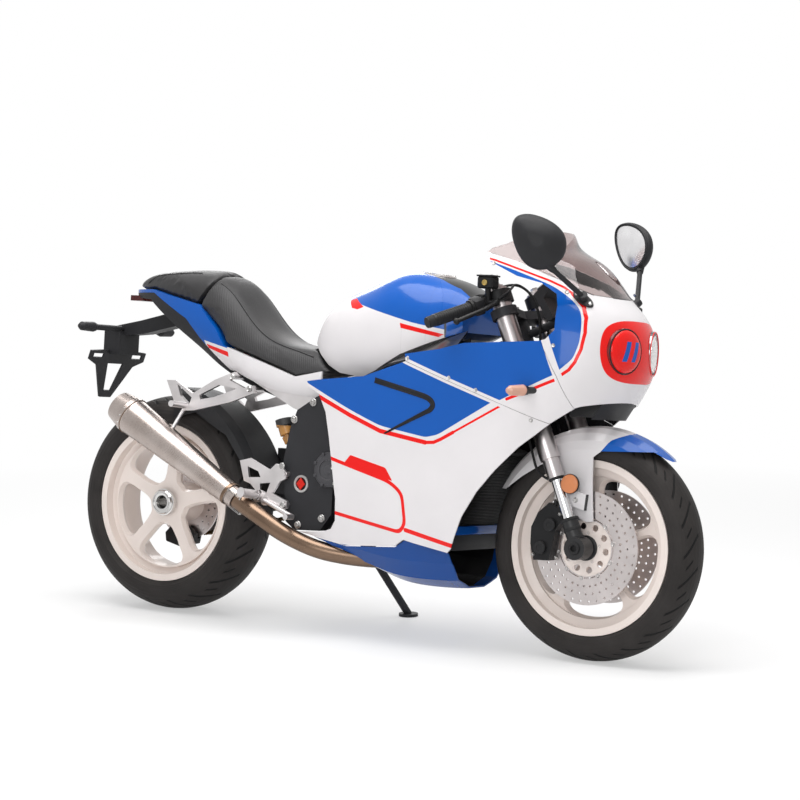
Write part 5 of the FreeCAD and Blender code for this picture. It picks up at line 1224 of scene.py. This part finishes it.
class MOTORCYCLE_OT_fork_fittings(Operator):
    """Add the fork's seals, caps and pinch bolts, the fender's reflectors and bolts, and the brake's bolts"""
    bl_idname = "motorcycle.fork_fittings"
    bl_label = "Fork fittings"

    def execute(self, context):
        seals = bmesh.new()
        rings = bmesh.new()
        bolts = bmesh.new()
        plates = bmesh.new()
        backs = bmesh.new()
        x, z = FRONT_AXLE.x, FRONT_AXLE.z
        for side in SIDES:
            lathe(seals, facing(on_leg(188, side), UP_FORK), [
                (16.4, 0), (19, 0.6), (20.6, 3), (20.6, 8), (21.4, 8.4), (21.4, 9.5), (16.4, 9.5)])
            for along, grow in ((8, 2.6), (22, 1.8), (48, 1.8), (74, 2.8)):
                lathe(seals, facing(on_leg(along + 4, side), UP_FORK), [
                    (21, -5), (22.4 + grow * 0.4, -4), (22.4 + grow, 0), (22.4 + grow * 0.4, 4), (21, 5)])
            lathe(rings, facing(on_leg(FORK_TOP + 8, side), UP_FORK), [
                (17, 0), (17, 2), (15, 3.4), (11, 3.4), (11, 9), (9, 10.4), (0.01, 10.4)], 6)
            lathe(seals, facing((x, side * 132, z), (0, side, 0)), [
                (12.4, -1), (16, -1), (16.6, 1.2), (15, 3), (9.4, 3), (8.4, 0.4), (8.4, -6), (0.01, -6)])
            for up in (-8, -24):
                spot = on_leg(up + 10, side, 8, -27)
                screw_head(bolts, facing(spot, -AHEAD), 4.2, 5)
            leg_bolt, _ = on_skin("front_fender", 1374, 424, side)
            screw_head(bolts, facing(leg_bolt, (0, side, 0)), 7.5, 4)
            lathe(plates, facing((1369, side * 116, 466), (0, side, 0)), [
                (0.01, 5.4), (22, 5), (24, 3.6), (24.6, 0), (0.01, 0)], 48)
            lathe(backs, facing((1369, side * (PLATE_BACK - 4), 466), (0, side, 0)), [
                (6, 0), (6, 30), (20, 36), (26, 37.4), (26.6, 40), (26, 42.4), (24.9, 42.4), (24.9, 39),
                (0.01, 39)], 48)
            for along, up in ((-118, -8), (-92, 54)):
                lathe(seals, facing((x + along, side * 102, z + up), (0, side, 0)), [
                    (17, -1), (17.2, 1.6), (15.4, 3.2), (8.6, 3.4), (7.8, 1.8), (0.01, 1.8)])
            for along, up in ((-140, -28), (-66, 84), (-70, -30)):
                screw_head(bolts, facing((x + along, side * 95, z + up), (0, side, 0)), 5.4, 4)
            port = Vector((x - 84, side * 86, z + 120))
            lathe(rings, facing(port + Vector((0, 0, 2)), (-0.18, 0, 1)), [
                (6.6, 0), (7.4, 1), (7.4, 6), (5.2, 7), (5.2, 22), (4.2, 26), (3.7, 26)], 12)
        finish_piece(seals, "fork_seals", "rubber", "steering")
        finish_piece(rings, "fork_caps", "bolt_steel", "steering", smooth=30)
        finish_piece(bolts, "fork_bolts", "bolt_steel", "steering", smooth=30)
        finish_piece(plates, "side_reflectors", "amber_plate", "steering")
        finish_piece(backs, "reflector_holders", "black_plastic", "steering")
        return {"FINISHED"}


# Cockpit

def tilted(place, way, forward):
    """A matrix at a place with Z along a way and X towards a second direction."""
    up = Vector(way).normalized()
    run = Vector(forward)
    run = (run - up * run.dot(up)).normalized()
    turn = Matrix((run, up.cross(run), up)).transposed().to_4x4()
    return Matrix.Translation(Vector(place)) @ turn


class MOTORCYCLE_OT_cockpit(Operator):
    """Add the dials, switch boxes, fluid box details, cables and stem nut"""
    bl_idname = "motorcycle.cockpit"
    bl_label = "Cockpit"

    def execute(self, context):
        dials = bmesh.new()
        bezels = bmesh.new()
        face_way = (-38, 0, 40)
        for y, radius in ((-40, 20), (0, 27), (40, 20)):
            middle = Vector((1219, y, 978)) + Vector(face_way).normalized() * 0.6
            matrix = facing(middle, face_way)
            lathe(dials, matrix, [(0.01, 2.4), (radius * 0.9, 2.2), (radius * 0.94, 0), (0.01, 0)], 48)
            lathe(bezels, matrix, [(radius * 0.94, 0), (radius * 0.94, 4.2), (radius, 5), (radius * 1.07, 4),
                                   (radius * 1.1, 0)], 48)
            for step in range(13):
                turn = math.radians(220 - step * 260 / 12)
                spot = matrix @ Vector((radius * 0.74 * math.cos(turn), radius * 0.74 * math.sin(turn), 2.7))
                slab(bezels, spot, (radius * 0.16, 1.1, 0.5),
                     matrix.to_3x3().to_4x4() @ Matrix.Rotation(turn, 4, "Z"), 0.1)
        finish_piece(dials, "dial_faces", "dial", "chassis")
        finish_piece(bezels, "dial_bezels", "bolt_steel", "chassis")
        boxes = bmesh.new()
        buttons = bmesh.new()
        ends = bmesh.new()
        for side in SIDES:
            matrix = tilted((0, 0, 0), bar_way(side), (0.3, 0, 1))
            slab(boxes, bar_point(side, 73), (44, 40, 30), matrix, 5)
            slab(boxes, bar_point(side, 73, 4, -20), (22, 12, 22), matrix, 3)
            for out, up in ((64, 9), (76, -3), (70, -12)):
                slab(buttons, bar_point(side, out, up, -27), (8, 6, 9), matrix, 1.4)
            lathe(ends, facing(bar_point(side, 210.5), bar_way(side)), [
                (9, -2), (14.6, -2), (15.6, 0), (15.6, 15), (14, 18), (8, 19), (7, 16), (0.01, 16)], 32)
            for step in range(16):
                lathe(ends, facing(bar_point(side, 101 + step * 6.6), bar_way(side)), [
                    (16, -2.2), (17.3, -1.4), (17.3, 1.4), (16, 2.2)], 24)
        finish_piece(boxes, "switch_boxes", "black_plastic", "steering")
        finish_piece(buttons, "switch_buttons", "red_part", "steering")
        finish_piece(ends, "grip_ribs", "rubber", "steering")
        box_at = bar_point(-1, 58, 42, 16)
        lid = bmesh.new()
        slab(lid, box_at + Vector((0, 0, 33.5)), (49, 43, 4.5), bevel=1.2)
        finish_piece(lid, "fluid_box_lid", "black_plastic", "steering")
        details = bmesh.new()
        for along in (-17, 17):
            for y in (-14, 14):
                screw_head(details, facing(box_at + Vector((along, y, 35.6)), (0, 0, 1)), 3.2, 2)
        stem_top = on_fork(679)
        lathe(details, facing(stem_top, UP_FORK), [(10.2, 0), (19, 0), (20, 1.5), (20, 8), (18, 10),
                                                   (10.2, 10)], 6)
        finish_piece(details, "stem_nut_and_screws", "bolt_steel", "steering", smooth=30)
        sight = bmesh.new()
        lathe(sight, facing(box_at + Vector((2, -20, 15)), (0, -1, 0)), [
            (0.01, 1.2), (4.6, 1.6), (5.4, 3), (7.6, 3.2), (8.4, 2), (8.4, -1)], 32)
        finish_piece(sight, "sight_glass", "sight_gold", "steering")
        cables = bmesh.new()
        for side, out, up, ahead in ((-1, 46, 12, 40), (-1, 66, 14, -6), (1, 46, 12, 40), (1, 66, -14, -6)):
            start = bar_point(side, out, up, ahead)
            tube(cables, [start, start + Vector((18, -side * 26, 22)), on_fork(735, 66, side * 62),
                          on_fork(690, 92, side * 34), on_fork(620, 84, side * 22),
                          on_fork(560, 58, side * 20),
                          on_fork(494, 44, side * 18)], 3.6 if up > 0 else 3.0)
        finish_piece(cables, "control_cables", "rubber", "steering")
        return {"FINISHED"}


# Wheels

class MOTORCYCLE_OT_wheel_fittings(Operator):
    """Add the disc bolts, hub rings, tyre valves and the grooved ring of the spindle nut"""
    bl_idname = "motorcycle.wheel_fittings"
    bl_label = "Wheel fittings"

    def execute(self, context):
        x, z = FRONT_AXLE.x, FRONT_AXLE.z
        start = math.radians(12)
        front = bmesh.new()
        caps = bmesh.new()
        for side in SIDES:
            bolt_circle(front, (x, z), side * 63.4, side, 10, 80, 6.6, start)
            bolt_circle(front, (x, z), side * 61.8, side, 5, 40, 4.6, start)
            lathe(caps, facing((x, side * 63.4, z), (0, side, 0)), [
                (15, -2), (32, -2), (33.4, 0.4), (33.4, 5), (30, 7), (20, 7), (18, 10), (18, 24), (15, 24)],
                48)
        valve = Vector((x, 0, z)) + on_wheel(FRONT_VALVE_TURN) * VALVE_RADIUS
        lathe(caps, facing(valve, Vector((x, 0, z)) - valve), [
            (5.4, -6), (5.4, 12), (3.6, 15), (3.6, 30), (2.8, 31), (2.8, 38), (0.01, 38.6)], 16)
        finish_piece(front, "front_disc_bolts", "bolt_steel", "front_wheel", smooth=30)
        finish_piece(caps, "front_hub_rings", "black_coating", "front_wheel")
        rear = bmesh.new()
        z = REAR_RADIUS
        bolt_circle(rear, (0, z), 52.6, 1, 6, 48, 6, start)
        for along, up in ring_of(5, 58):
            lathe(rear, facing((along, 133, z + up), (0, 1, 0)), [(0.01, 9), (5, 9), (9, 7), (10, 0),
                                                                  (0.01, 0)], 6)
        lathe(rear, facing((0, -76, z), (0, -1, 0)), [
            (20.3, -2), (20.3, 7), (24, 9), (27, 9), (27, 6), (30, 6), (30, 9), (33, 9), (36, 5), (36, 1),
            (39, 0), (39, -2)], 64)
        finish_piece(rear, "rear_hub_fittings", "polished", "rear_wheel", smooth=35)
        stem = bmesh.new()
        valve = on_wheel(REAR_VALVE_TURN) * VALVE_RADIUS + Vector((0, 0, z))
        lathe(stem, facing(valve, Vector((0, 0, z)) - valve), [
            (5.4, -6), (5.4, 12), (3.6, 15), (3.6, 30), (2.8, 31), (2.8, 38), (0.01, 38.6)], 16)
        finish_piece(stem, "rear_valve", "rubber", "rear_wheel")
        return {"FINISHED"}


# Drive chain

CHAIN_Y = 130
DRIVE_SPROCKET = Vector((612, 400))
CHAIN_RADII = (96, 37)


def chain_run():
    """Places and directions of the chain's pins round both sprockets."""
    rear = Vector((0, REAR_RADIUS))
    run = DRIVE_SPROCKET - rear
    slope = math.atan2(run.y, run.x)
    tilt = math.asin((CHAIN_RADII[0] - CHAIN_RADII[1]) / run.length)
    straight = run.length * math.cos(tilt)
    high = slope + math.pi / 2 - tilt
    low = slope - math.pi / 2 + tilt
    around_front = CHAIN_RADII[1] * (math.pi - 2 * tilt)
    around_rear = CHAIN_RADII[0] * (math.pi + 2 * tilt)
    total = 2 * straight + around_front + around_rear
    pitch = settings("fitting").link_pitch / MM
    count = 2 * round(total / pitch / 2)
    places = []
    for step in range(count):
        s = total * step / count
        if s < straight:
            base = rear + Vector((math.cos(high), math.sin(high))) * CHAIN_RADII[0]
            places.append(base + Vector((math.cos(high - math.pi / 2), math.sin(high - math.pi / 2))) * s)
            continue
        s -= straight
        if s < around_front:
            turn = high - s / CHAIN_RADII[1]
            places.append(DRIVE_SPROCKET + Vector((math.cos(turn), math.sin(turn))) * CHAIN_RADII[1])
            continue
        s -= around_front
        if s < straight:
            base = DRIVE_SPROCKET + Vector((math.cos(low), math.sin(low))) * CHAIN_RADII[1]
            places.append(base + Vector((math.cos(low - math.pi / 2), math.sin(low - math.pi / 2))) * s)
            continue
        s -= straight
        turn = low - s / CHAIN_RADII[0]
        places.append(rear + Vector((math.cos(turn), math.sin(turn))) * CHAIN_RADII[0])
    return places


class MOTORCYCLE_OT_chain(Operator):
    """Lay the drive chain's links round both sprockets"""
    bl_idname = "motorcycle.chain"
    bl_label = "Drive chain"

    def execute(self, context):
        bm = bmesh.new()
        places = chain_run()
        for index, (here, there) in enumerate(zip(places, places[1:] + places[:1])):
            way = there - here
            length = way.length
            turn = math.atan2(way.y, way.x)
            outer = index % 2 == 0
            radius = 5.6 if outer else 6.4
            waist = radius * 0.62
            outline = []
            for end, first in ((length, -90), (0, 90)):
                for step in range(5):
                    angle = math.radians(first + step * 45)
                    outline.append((end + radius * math.cos(angle), radius * math.sin(angle)))
                outline.append((length / 2, waist if end else -waist))
            offset = 6.7 if outer else 4.8
            for side in SIDES:
                y = CHAIN_Y + side * offset - 0.9
                matrix = (Matrix.Translation((here.x, y, here.y)) @ Matrix.Rotation(-turn, 4, "Y")
                          @ Matrix.Rotation(-math.pi / 2, 4, "X") @ Matrix.Scale(-1, 4, (0, 1, 0)))
                prism(bm, matrix, outline, 1.8)
            lathe(bm, facing((here.x, CHAIN_Y - 8.6, here.y), ACROSS), [
                (0.01, 0), (2.4, 0), (2.4, 4), (4.9, 4), (4.9, 13.2), (2.4, 13.2), (2.4, 17.2), (0.01, 17.2)],
                8)
        piece = finish_piece(bm, "chain_links", "chain", "chassis", smooth=30)
        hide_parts("drive_chain")
        return {"FINISHED"}


# Frame and engine fittings

PLATE_FACE = 138
PLATE_BOLTS = ((499, 585), (609, 316), (530, 292), (560, 636))


class MOTORCYCLE_OT_frame_fittings(Operator):
    """Add the pivot cap, frame and engine bolts, radiator fins, hugger bolts and footrest rubbers"""
    bl_idname = "motorcycle.frame_fittings"
    bl_label = "Frame fittings"

    def execute(self, context):
        bolts = bmesh.new()
        for x, z in PLATE_BOLTS:
            lathe(bolts, facing((x, -PLATE_FACE, z), (0, -1, 0)), [
                (11, -1), (11, 2), (10, 3), (7.5, 3), (7.5, 8), (6.5, 9), (4, 9), (3.6, 5), (0.01, 5)], 24)
        for x, z in PLATE_BOLTS[:3]:
            lathe(bolts, facing((x - 14, 115.4, z - 6), (0, 1, 0)), [
                (10, -1), (10, 2), (8, 3), (6.5, 3), (6.5, 7), (5.4, 8), (0.01, 8)], 6)
        lathe(bolts, facing((534, -137, 407), (0, -1, 0)), [(17, -1), (24, -1), (25, 0.6), (24, 3),
                                                            (18.4, 3.6), (17, 2)], 48)
        finish_piece(bolts, "frame_bolts", "bolt_steel", "chassis", smooth=35)
        clutch = bmesh.new()
        lathe(clutch, facing((628, -137, 452), (0, -1, 0)), [
            (50, -2), (50, 5), (47, 9), (42, 10), (41, 12), (28, 13), (27, 11), (12, 11), (11, 13),
            (0.01, 13)], 64)
        for along, up in ring_of(8, 45.5, 0.4):
            slab(clutch, (628 + along, -145, 452 + up), (9, 14, 9), bevel=2)
        finish_piece(clutch, "clutch_cover", "engine_casting", "chassis")
        duct = bmesh.new()
        slab(duct, (1048, 0, 318), (16, 312, 24), bevel=4)
        finish_piece(duct, "duct_edge", "belly", "chassis")
        walls = bmesh.new()
        slab(walls, (1030, 0, 284), (4, 300, 44), bevel=1)
        slab(walls, (1348, 0, 672), (4, 200, 64), bevel=1)
        for side in SIDES:
            outline = [(700, 700), (828, 752), (954, 798), (1060, 832), (1060, 776), (700, 650)]
            prism(walls, Matrix.Translation((0, side * 142, 0)) @ Matrix.Rotation(math.pi / 2, 4, "X"),
                  outline, 3)
        finish_piece(walls, "inner_walls", "black_plastic", "chassis")
        lips = bmesh.new()
        for side, name in ((-1, "side_fairing_right"), (1, "side_fairing_left")):
            ribbon(lips, name, side, smooth(VENT_LINE, 5), VENT_WIDTHS)
        finish_piece(lips, "vent_lips", "gloss_black", "chassis", smooth=60)
        diamond = bmesh.new()
        prism(diamond, facing((534, -137, 407), (0, -1, 0)), [(0, -17), (15, 0), (0, 17), (-15, 0)], 6,
              bevel=1.4)
        finish_piece(diamond, "pivot_diamond", "red_part", "chassis")
        covers = bmesh.new()
        bolt_circle(covers, (712, 450), -158, -1, 9, 64, 5, 0.2)
        bolt_circle(covers, (712, 450), -164, -1, 5, 38, 5, 0.5)
        bolt_circle(covers, (860, 390), 150, 1, 8, 58, 5, 0.2)
        for x, z in ((484, 454), (492, 345)):
            lathe(covers, facing((x, -164, z), (0, -1, 0)), [
                (9, -1), (9, 2), (7.6, 3), (5, 3), (4.6, 1), (0.01, 1)], 24)
        for side in SIDES:
            for x, z in ((277, 694), (338, 662)):
                screw_head(covers, facing((x, side * 141.6, z), (0, side, 0)), 9, 4)
        screw_head(covers, facing((311, 88, 487), (0, 0, 1)), 6, 3)
        finish_piece(covers, "cover_bolts", "bolt_steel", "chassis", smooth=35)
        rubbers = bmesh.new()
        for side in SIDES:
            start = Vector((404, side * 152, 366))
            way = Vector((-8, side * 82, 8)).normalized()
            for step in range(9):
                lathe(rubbers, facing(start + way * (22 + step * 6.4), way), [
                    (10, -2.2), (12.6, -1.6), (12.6, 1.6), (10, 2.2)], 20)
        finish_piece(rubbers, "footrest_grooves", "silver_casting", "chassis")
        fins = bmesh.new()
        low = Vector((1042, 0, 330))
        high = Vector((1094, 0, 522))
        way = (high - low).normalized()
        ahead = Vector((way.z, 0, -way.x))
        for step in range(46):
            spot = low + (high - low) * (step + 0.5) / 46 + ahead * 1.5
            slab(fins, spot, (5, 284, 1.1), tilted((0, 0, 0), way, ahead), 0.2)
        for side in SIDES:
            slab(fins, (low + high) / 2 + ahead * 0.5 + ACROSS * side * 145, (10, 8, 206),
                 tilted((0, 0, 0), way, ahead), 2)
        finish_piece(fins, "radiator_fins", "black_coating", "chassis")
        return {"FINISHED"}


# Exhaust

CAN_START = Vector((352, -188, 350))
CAN_END = Vector((-44, -198, 570))


class MOTORCYCLE_OT_exhaust_fittings(Operator):
    """Add the silencer's rivets and bands, and the springs at its joint"""
    bl_idname = "motorcycle.exhaust_fittings"
    bl_label = "Exhaust fittings"

    def execute(self, context):
        way = (CAN_END - CAN_START).normalized()
        length = (CAN_END - CAN_START).length
        start = facing(CAN_START, way)
        rivets = bmesh.new()
        for step in range(14):
            turn = 2 * math.pi * step / 14
            spot = start @ Vector((54.2 * math.cos(turn), 54.2 * math.sin(turn), length - 8))
            screw_head(rivets, facing(spot, start.to_3x3() @ Vector((math.cos(turn), math.sin(turn), 0))),
                       2.6, 1.6, False)
        finish_piece(rivets, "silencer_rivets", "polished", "chassis")
        bands = bmesh.new()
        for along, radius, wide in ((31, 33.2, 5), (length - 15, 54.4, 1.4)):
            grow = (53 - 33) / (length - 50)
            lathe(bands, start @ Matrix.Translation((0, 0, along)), [
                (radius - 1, -wide), (radius + 0.6 - grow * wide, -wide), (radius + 1.6, 0),
                (radius + 0.6 + grow * wide, wide), (radius - 1, wide)], 64)
        finish_piece(bands, "silencer_bands", "pipe", "chassis")
        springs = bmesh.new()
        for turn in (0.6, 2.4, 4.4):
            path = []
            base = Vector((math.cos(turn), math.sin(turn), 0)) * 36
            for step in range(72):
                angle = 2 * math.pi * step / 8
                path.append(start @ (base + Vector((3.2 * math.cos(angle), 3.2 * math.sin(angle),
                                                    -22 + step * 0.62))))
            tube(springs, path, 0.9, sides=8)
            for along in (-24, 23):
                slab(springs, start @ (base * 0.92 + Vector((0, 0, along))), (8, 8, 4),
                     start.to_3x3().to_4x4(), 1)
        finish_piece(springs, "silencer_springs", "bolt_steel", "chassis")
        return {"FINISHED"}


# Tank cap

class MOTORCYCLE_OT_tank_cap(Operator):
    """Add the filler cap's ring, bolts and lock"""
    bl_idname = "motorcycle.tank_cap"
    bl_label = "Tank cap"

    def execute(self, context):
        tilt = Matrix.Translation((858, 0, 993)) @ Matrix.Rotation(math.radians(5), 4, "Y")
        ring = bmesh.new()
        lathe(ring, tilt, [(38.4, 8), (38.4, 14.4), (44, 15), (50, 13.6), (51, 10), (49, 6)], 64)
        finish_piece(ring, "filler_ring", "turned_steel", "chassis")
        details = bmesh.new()
        for along, up in ring_of(6, 44.4, 0.5):
            screw_head(details, tilt @ Matrix.Translation((along, up, 14.6)), 4.2, 2.4)
        lathe(details, tilt @ Matrix.Translation((-8, 0, 12)), [
            (0.01, 1.4), (1.2, 1.4), (1.2, 3), (8, 3), (9, 2), (9, 0)], 32)
        lathe(details, tilt @ Matrix.Translation((0, 0, 12)), [(27, 0), (27.6, 1.6), (35, 1.8), (36.4, 0.4),
                                                               (36.4, -1)], 64)
        finish_piece(details, "filler_details", "bolt_steel", "chassis")
        return {"FINISHED"}


# Seats


VOXEL = 5.5 * MM
SWELL_CAP = 7 * MM
SHRINK = 4.5 * MM


def swollen_cover(node_name, name, finish="seat_cover"):
    """A seat cover: the pad's shape drawn in a little, swelled by air pressure, and smoothed."""
    bm = bmesh.new()
    bm.from_mesh(NODES[node_name].data)
    bmesh.ops.remove_doubles(bm, verts=bm.verts, dist=0.02 * MM)
    bmesh.ops.recalc_face_normals(bm, faces=bm.faces)
    mesh = bpy.data.meshes.new(name)
    bm.to_mesh(mesh)
    bm.free()
    piece = bpy.data.objects.new(name, mesh)
    bpy.context.scene.collection.objects.link(piece)
    remesh = piece.modifiers.new("even_mesh", "REMESH")
    remesh.mode = "VOXEL"
    remesh.voxel_size = VOXEL
    settle(piece)
    bm = bmesh.new()
    bm.from_mesh(piece.data)
    for _ in range(4):
        bmesh.ops.smooth_vert(bm, verts=bm.verts, factor=0.5, use_axis_x=True, use_axis_y=True,
                              use_axis_z=True)
    bm.normal_update()
    for vert in bm.verts:
        vert.co -= vert.normal * SHRINK
    bm.to_mesh(piece.data)
    bm.free()
    swell(piece)
    rounding = piece.modifiers.new("rounding", "SUBSURF")
    rounding.levels = rounding.render_levels = 1
    settle(piece)
    piece.data.shade_smooth()
    piece.data.materials.clear()
    piece.data.materials.append(FINISHES[finish])
    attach(piece, "chassis")
    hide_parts(node_name)
    return piece


def settle(piece):
    """Apply a piece's modifiers to its mesh."""
    depsgraph = bpy.context.evaluated_depsgraph_get()
    mesh = bpy.data.meshes.new_from_object(piece.evaluated_get(depsgraph))
    piece.modifiers.clear()
    piece.data = mesh


def swell(piece):
    """Blow the cover up with cloth simulation, no point further than the cap."""
    start = [vert.co.copy() for vert in piece.data.vertices]
    cloth = piece.modifiers.new("swell", "CLOTH")
    cloth.settings.use_pressure = True
    cloth.settings.uniform_pressure_force = 4
    cloth.settings.effector_weights.gravity = 0
    cloth.settings.quality = 5
    cloth.point_cache.frame_start = 1
    cloth.point_cache.frame_end = 20
    scene = bpy.context.scene
    for step in range(1, 21):
        scene.frame_set(step)
    settle(piece)
    scene.frame_set(1)
    for vert, home in zip(piece.data.vertices, start):
        reach = vert.co - home
        if reach.length > SWELL_CAP:
            vert.co = home + reach * (SWELL_CAP / reach.length)


SEAT_SEAM = 84


class MOTORCYCLE_OT_seats(Operator):
    """Swell the rider's seat and the passenger's pad, and sew their piping"""
    bl_idname = "motorcycle.seats"
    bl_label = "Seats"

    def execute(self, context):
        seat = swollen_cover("rider_seat", "rider_seat_cover")
        pad = swollen_cover("pillion_pad", "pillion_pad_cover", "pad_cover")
        piping = bmesh.new()
        for piece, xs, share in ((seat, range(176, 540, 26), SEAT_SEAM), (pad, range(-120, 110, 26), 62)):
            bm = bmesh.new()
            bm.from_mesh(piece.data)
            bm.transform(TO_BIKE)
            SKINS[piece.name] = BVHTree.FromBMesh(bm)
            bm.free()
            for side in SIDES:
                run = []
                for x in xs:
                    y = side * share * (1 - 0.35 * max(0, (-x - 20) / 140))
                    place, normal, _, _ = skin(piece.name).ray_cast(Vector((x, y, 1300)), Vector((0, 0, -1)))
                    if place is not None:
                        run.append(place + normal * 0.4)
                tube(piping, run, 2.1, sides=8)
        finish_piece(piping, "seat_piping", "seam_piping", "chassis")
        return {"FINISHED"}


# Studio

CAMERA_AZIMUTH = math.radians(33.13)
CAMERA_ELEVATION = math.radians(1.39)
CAMERA_ROLL = math.radians(3.20)
CAMERA_DISTANCE = 6540
CAMERA_TARGET = Vector((700.5, 0, 550))
FOCAL_PIXELS = 2338.2
PICTURE_PIXELS = 800
SENSOR = 36
SHIFT_PIXELS = (18.9, 36.7)


def place_camera():
    """The photograph's viewpoint, given in the leaning motorcycle's own frame."""
    back = Vector((math.sin(CAMERA_AZIMUTH) * math.cos(CAMERA_ELEVATION),
                   -math.cos(CAMERA_AZIMUTH) * math.cos(CAMERA_ELEVATION), math.sin(CAMERA_ELEVATION)))
    right = (-back).cross(Vector((0, 0, 1))).normalized()
    up = right.cross(-back)
    rolled_right = right * math.cos(CAMERA_ROLL) + up * math.sin(CAMERA_ROLL)
    rolled_up = up * math.cos(CAMERA_ROLL) - right * math.sin(CAMERA_ROLL)
    turn = BIKE.to_3x3().normalized()
    axes = [(turn @ axis).normalized() for axis in (rolled_right, rolled_up, back)]
    camera = bpy.data.objects.new("camera", bpy.data.cameras.new("camera"))
    camera.matrix_world = (Matrix.Translation(BIKE @ (CAMERA_TARGET + back * CAMERA_DISTANCE))
                           @ Matrix(axes).transposed().to_4x4())
    camera.data.sensor_width = SENSOR
    camera.data.lens = FOCAL_PIXELS / PICTURE_PIXELS * SENSOR
    camera.data.shift_x = SHIFT_PIXELS[0] / PICTURE_PIXELS
    camera.data.shift_y = SHIFT_PIXELS[1] / PICTURE_PIXELS
    bpy.context.scene.collection.objects.link(camera)
    bpy.context.scene.camera = camera


MIRRORED_LIGHT = 0.62


def seen_or_mirrored(tree):
    """One for rays that come straight from the camera or a clear part, and a share of that from a mirror."""
    path = node(tree, "ShaderNodeLightPath").outputs
    first = calc(tree, "MAXIMUM", path["Is Camera Ray"], path["Is Transmission Ray"])
    return calc(tree, "MAXIMUM", first, calc(tree, "MULTIPLY", path["Is Glossy Ray"], MIRRORED_LIGHT))


def make_floor():
    bm = bmesh.new()
    bmesh.ops.create_circle(bm, cap_ends=True, segments=64, radius=60)
    mesh = bpy.data.meshes.new("floor")
    bm.to_mesh(mesh)
    bm.free()
    floor = bpy.data.objects.new("floor", mesh)
    bpy.context.scene.collection.objects.link(floor)
    material, tree, shader = new_finish("floor_paper", roughness=0.9, base_color=(0.9, 0.9, 0.9, 1))
    place = object_place(tree)
    away = shift(tree, vector_calc(tree, "LENGTH", place), 1.0, 4.0, 0.42, 1.0)
    set_roughness(tree, shader, noise(tree, place, 3.0), 0.85, 0.95)
    glow = node(tree, "ShaderNodeEmission", {"Color": (1, 1, 1, 1), "Strength": 1.0})
    mixed = node(tree, "ShaderNodeMixShader")
    feed(tree, mixed.inputs[0], calc(tree, "MULTIPLY", seen_or_mirrored(tree), away))
    feed(tree, mixed.inputs[1], shader.outputs[0])
    feed(tree, mixed.inputs[2], glow.outputs[0])
    feed(tree, tree.nodes["Material Output"].inputs["Surface"], mixed.outputs[0])
    mesh.materials.append(material)


def add_lamp(name, place, target, size, power):
    lamp = bpy.data.lights.new(name, "AREA")
    lamp.shape = "RECTANGLE"
    lamp.size, lamp.size_y = size
    lamp.energy = power
    holder = bpy.data.objects.new(name, lamp)
    holder.matrix_world = facing(place, Vector(place) - Vector(target))
    bpy.context.scene.collection.objects.link(holder)


class MOTORCYCLE_OT_studio(Operator):
    """Set up the floor, the soft lamps and the camera"""
    bl_idname = "motorcycle.studio"
    bl_label = "Studio"

    def execute(self, context):
        scene = context.scene
        scene.view_settings.view_transform = "Standard"
        place_camera()
        make_floor()
        world = bpy.data.worlds.new("studio_room")
        world.use_nodes = True
        tree = world.node_tree
        seen = seen_or_mirrored(tree)
        room = settings("studio").room_light
        feed(tree, tree.nodes["Background"].inputs["Strength"], node_mix(tree, seen, room, 1.0))
        tree.nodes["Background"].inputs["Color"].default_value = (1, 1, 1, 1)
        scene.world = world
        power = settings("studio").lamp_power
        add_lamp("overhead", (0.2, -0.4, 3.4), (0, 0, 0.6), (3.6, 2.2), power)
        add_lamp("side_fill", (1.6, -4.2, 1.9), (0.1, 0, 0.6), (2.4, 1.8), power * 0.42)
        add_lamp("rim", (-2.4, 2.6, 2.4), (0, 0, 0.6), (1.6, 1.6), power * 0.3)
        return {"FINISHED"}


class MOTORCYCLE_PT_dressing(Panel):
    """Lists the steps that dress the motorcycle"""
    bl_idname = "MOTORCYCLE_PT_dressing"
    bl_label = "Motorcycle"
    bl_space_type = "VIEW_3D"
    bl_region_type = "UI"
    bl_category = "Motorcycle"

    def draw(self, context):
        for group in SETTINGS:
            for name in SETTINGS[group].__annotations__:
                self.layout.prop(settings(group), name)
        for step in STEPS:
            self.layout.operator(step.bl_idname)


SETTINGS = {"paint": PaintSettings, "metal": MetalSettings, "fitting": FittingSettings,
            "studio": StudioSettings}
STEPS = (
    MOTORCYCLE_OT_studio, MOTORCYCLE_OT_finishes, MOTORCYCLE_OT_panel_screws, MOTORCYCLE_OT_mirror_glass,
    MOTORCYCLE_OT_lamp_lenses, MOTORCYCLE_OT_fork_fittings, MOTORCYCLE_OT_cockpit,
    MOTORCYCLE_OT_wheel_fittings,
    MOTORCYCLE_OT_chain, MOTORCYCLE_OT_frame_fittings, MOTORCYCLE_OT_exhaust_fittings, MOTORCYCLE_OT_tank_cap,
    MOTORCYCLE_OT_seats,
)


def register():
    for group, kind in SETTINGS.items():
        bpy.utils.register_class(kind)
        setattr(bpy.types.Scene, "motorcycle_" + group, PointerProperty(type=kind))
    for kind in (*STEPS, MOTORCYCLE_PT_dressing):
        bpy.utils.register_class(kind)


def unregister():
    for kind in (MOTORCYCLE_PT_dressing, *reversed(STEPS)):
        bpy.utils.unregister_class(kind)
    for group, kind in SETTINGS.items():
        delattr(bpy.types.Scene, "motorcycle_" + group)
        bpy.utils.unregister_class(kind)


def main():
    register()
    for step in STEPS:
        group, name = step.bl_idname.split(".")
        getattr(getattr(bpy.ops, group), name)()


if __name__ == "__main__":
    main()
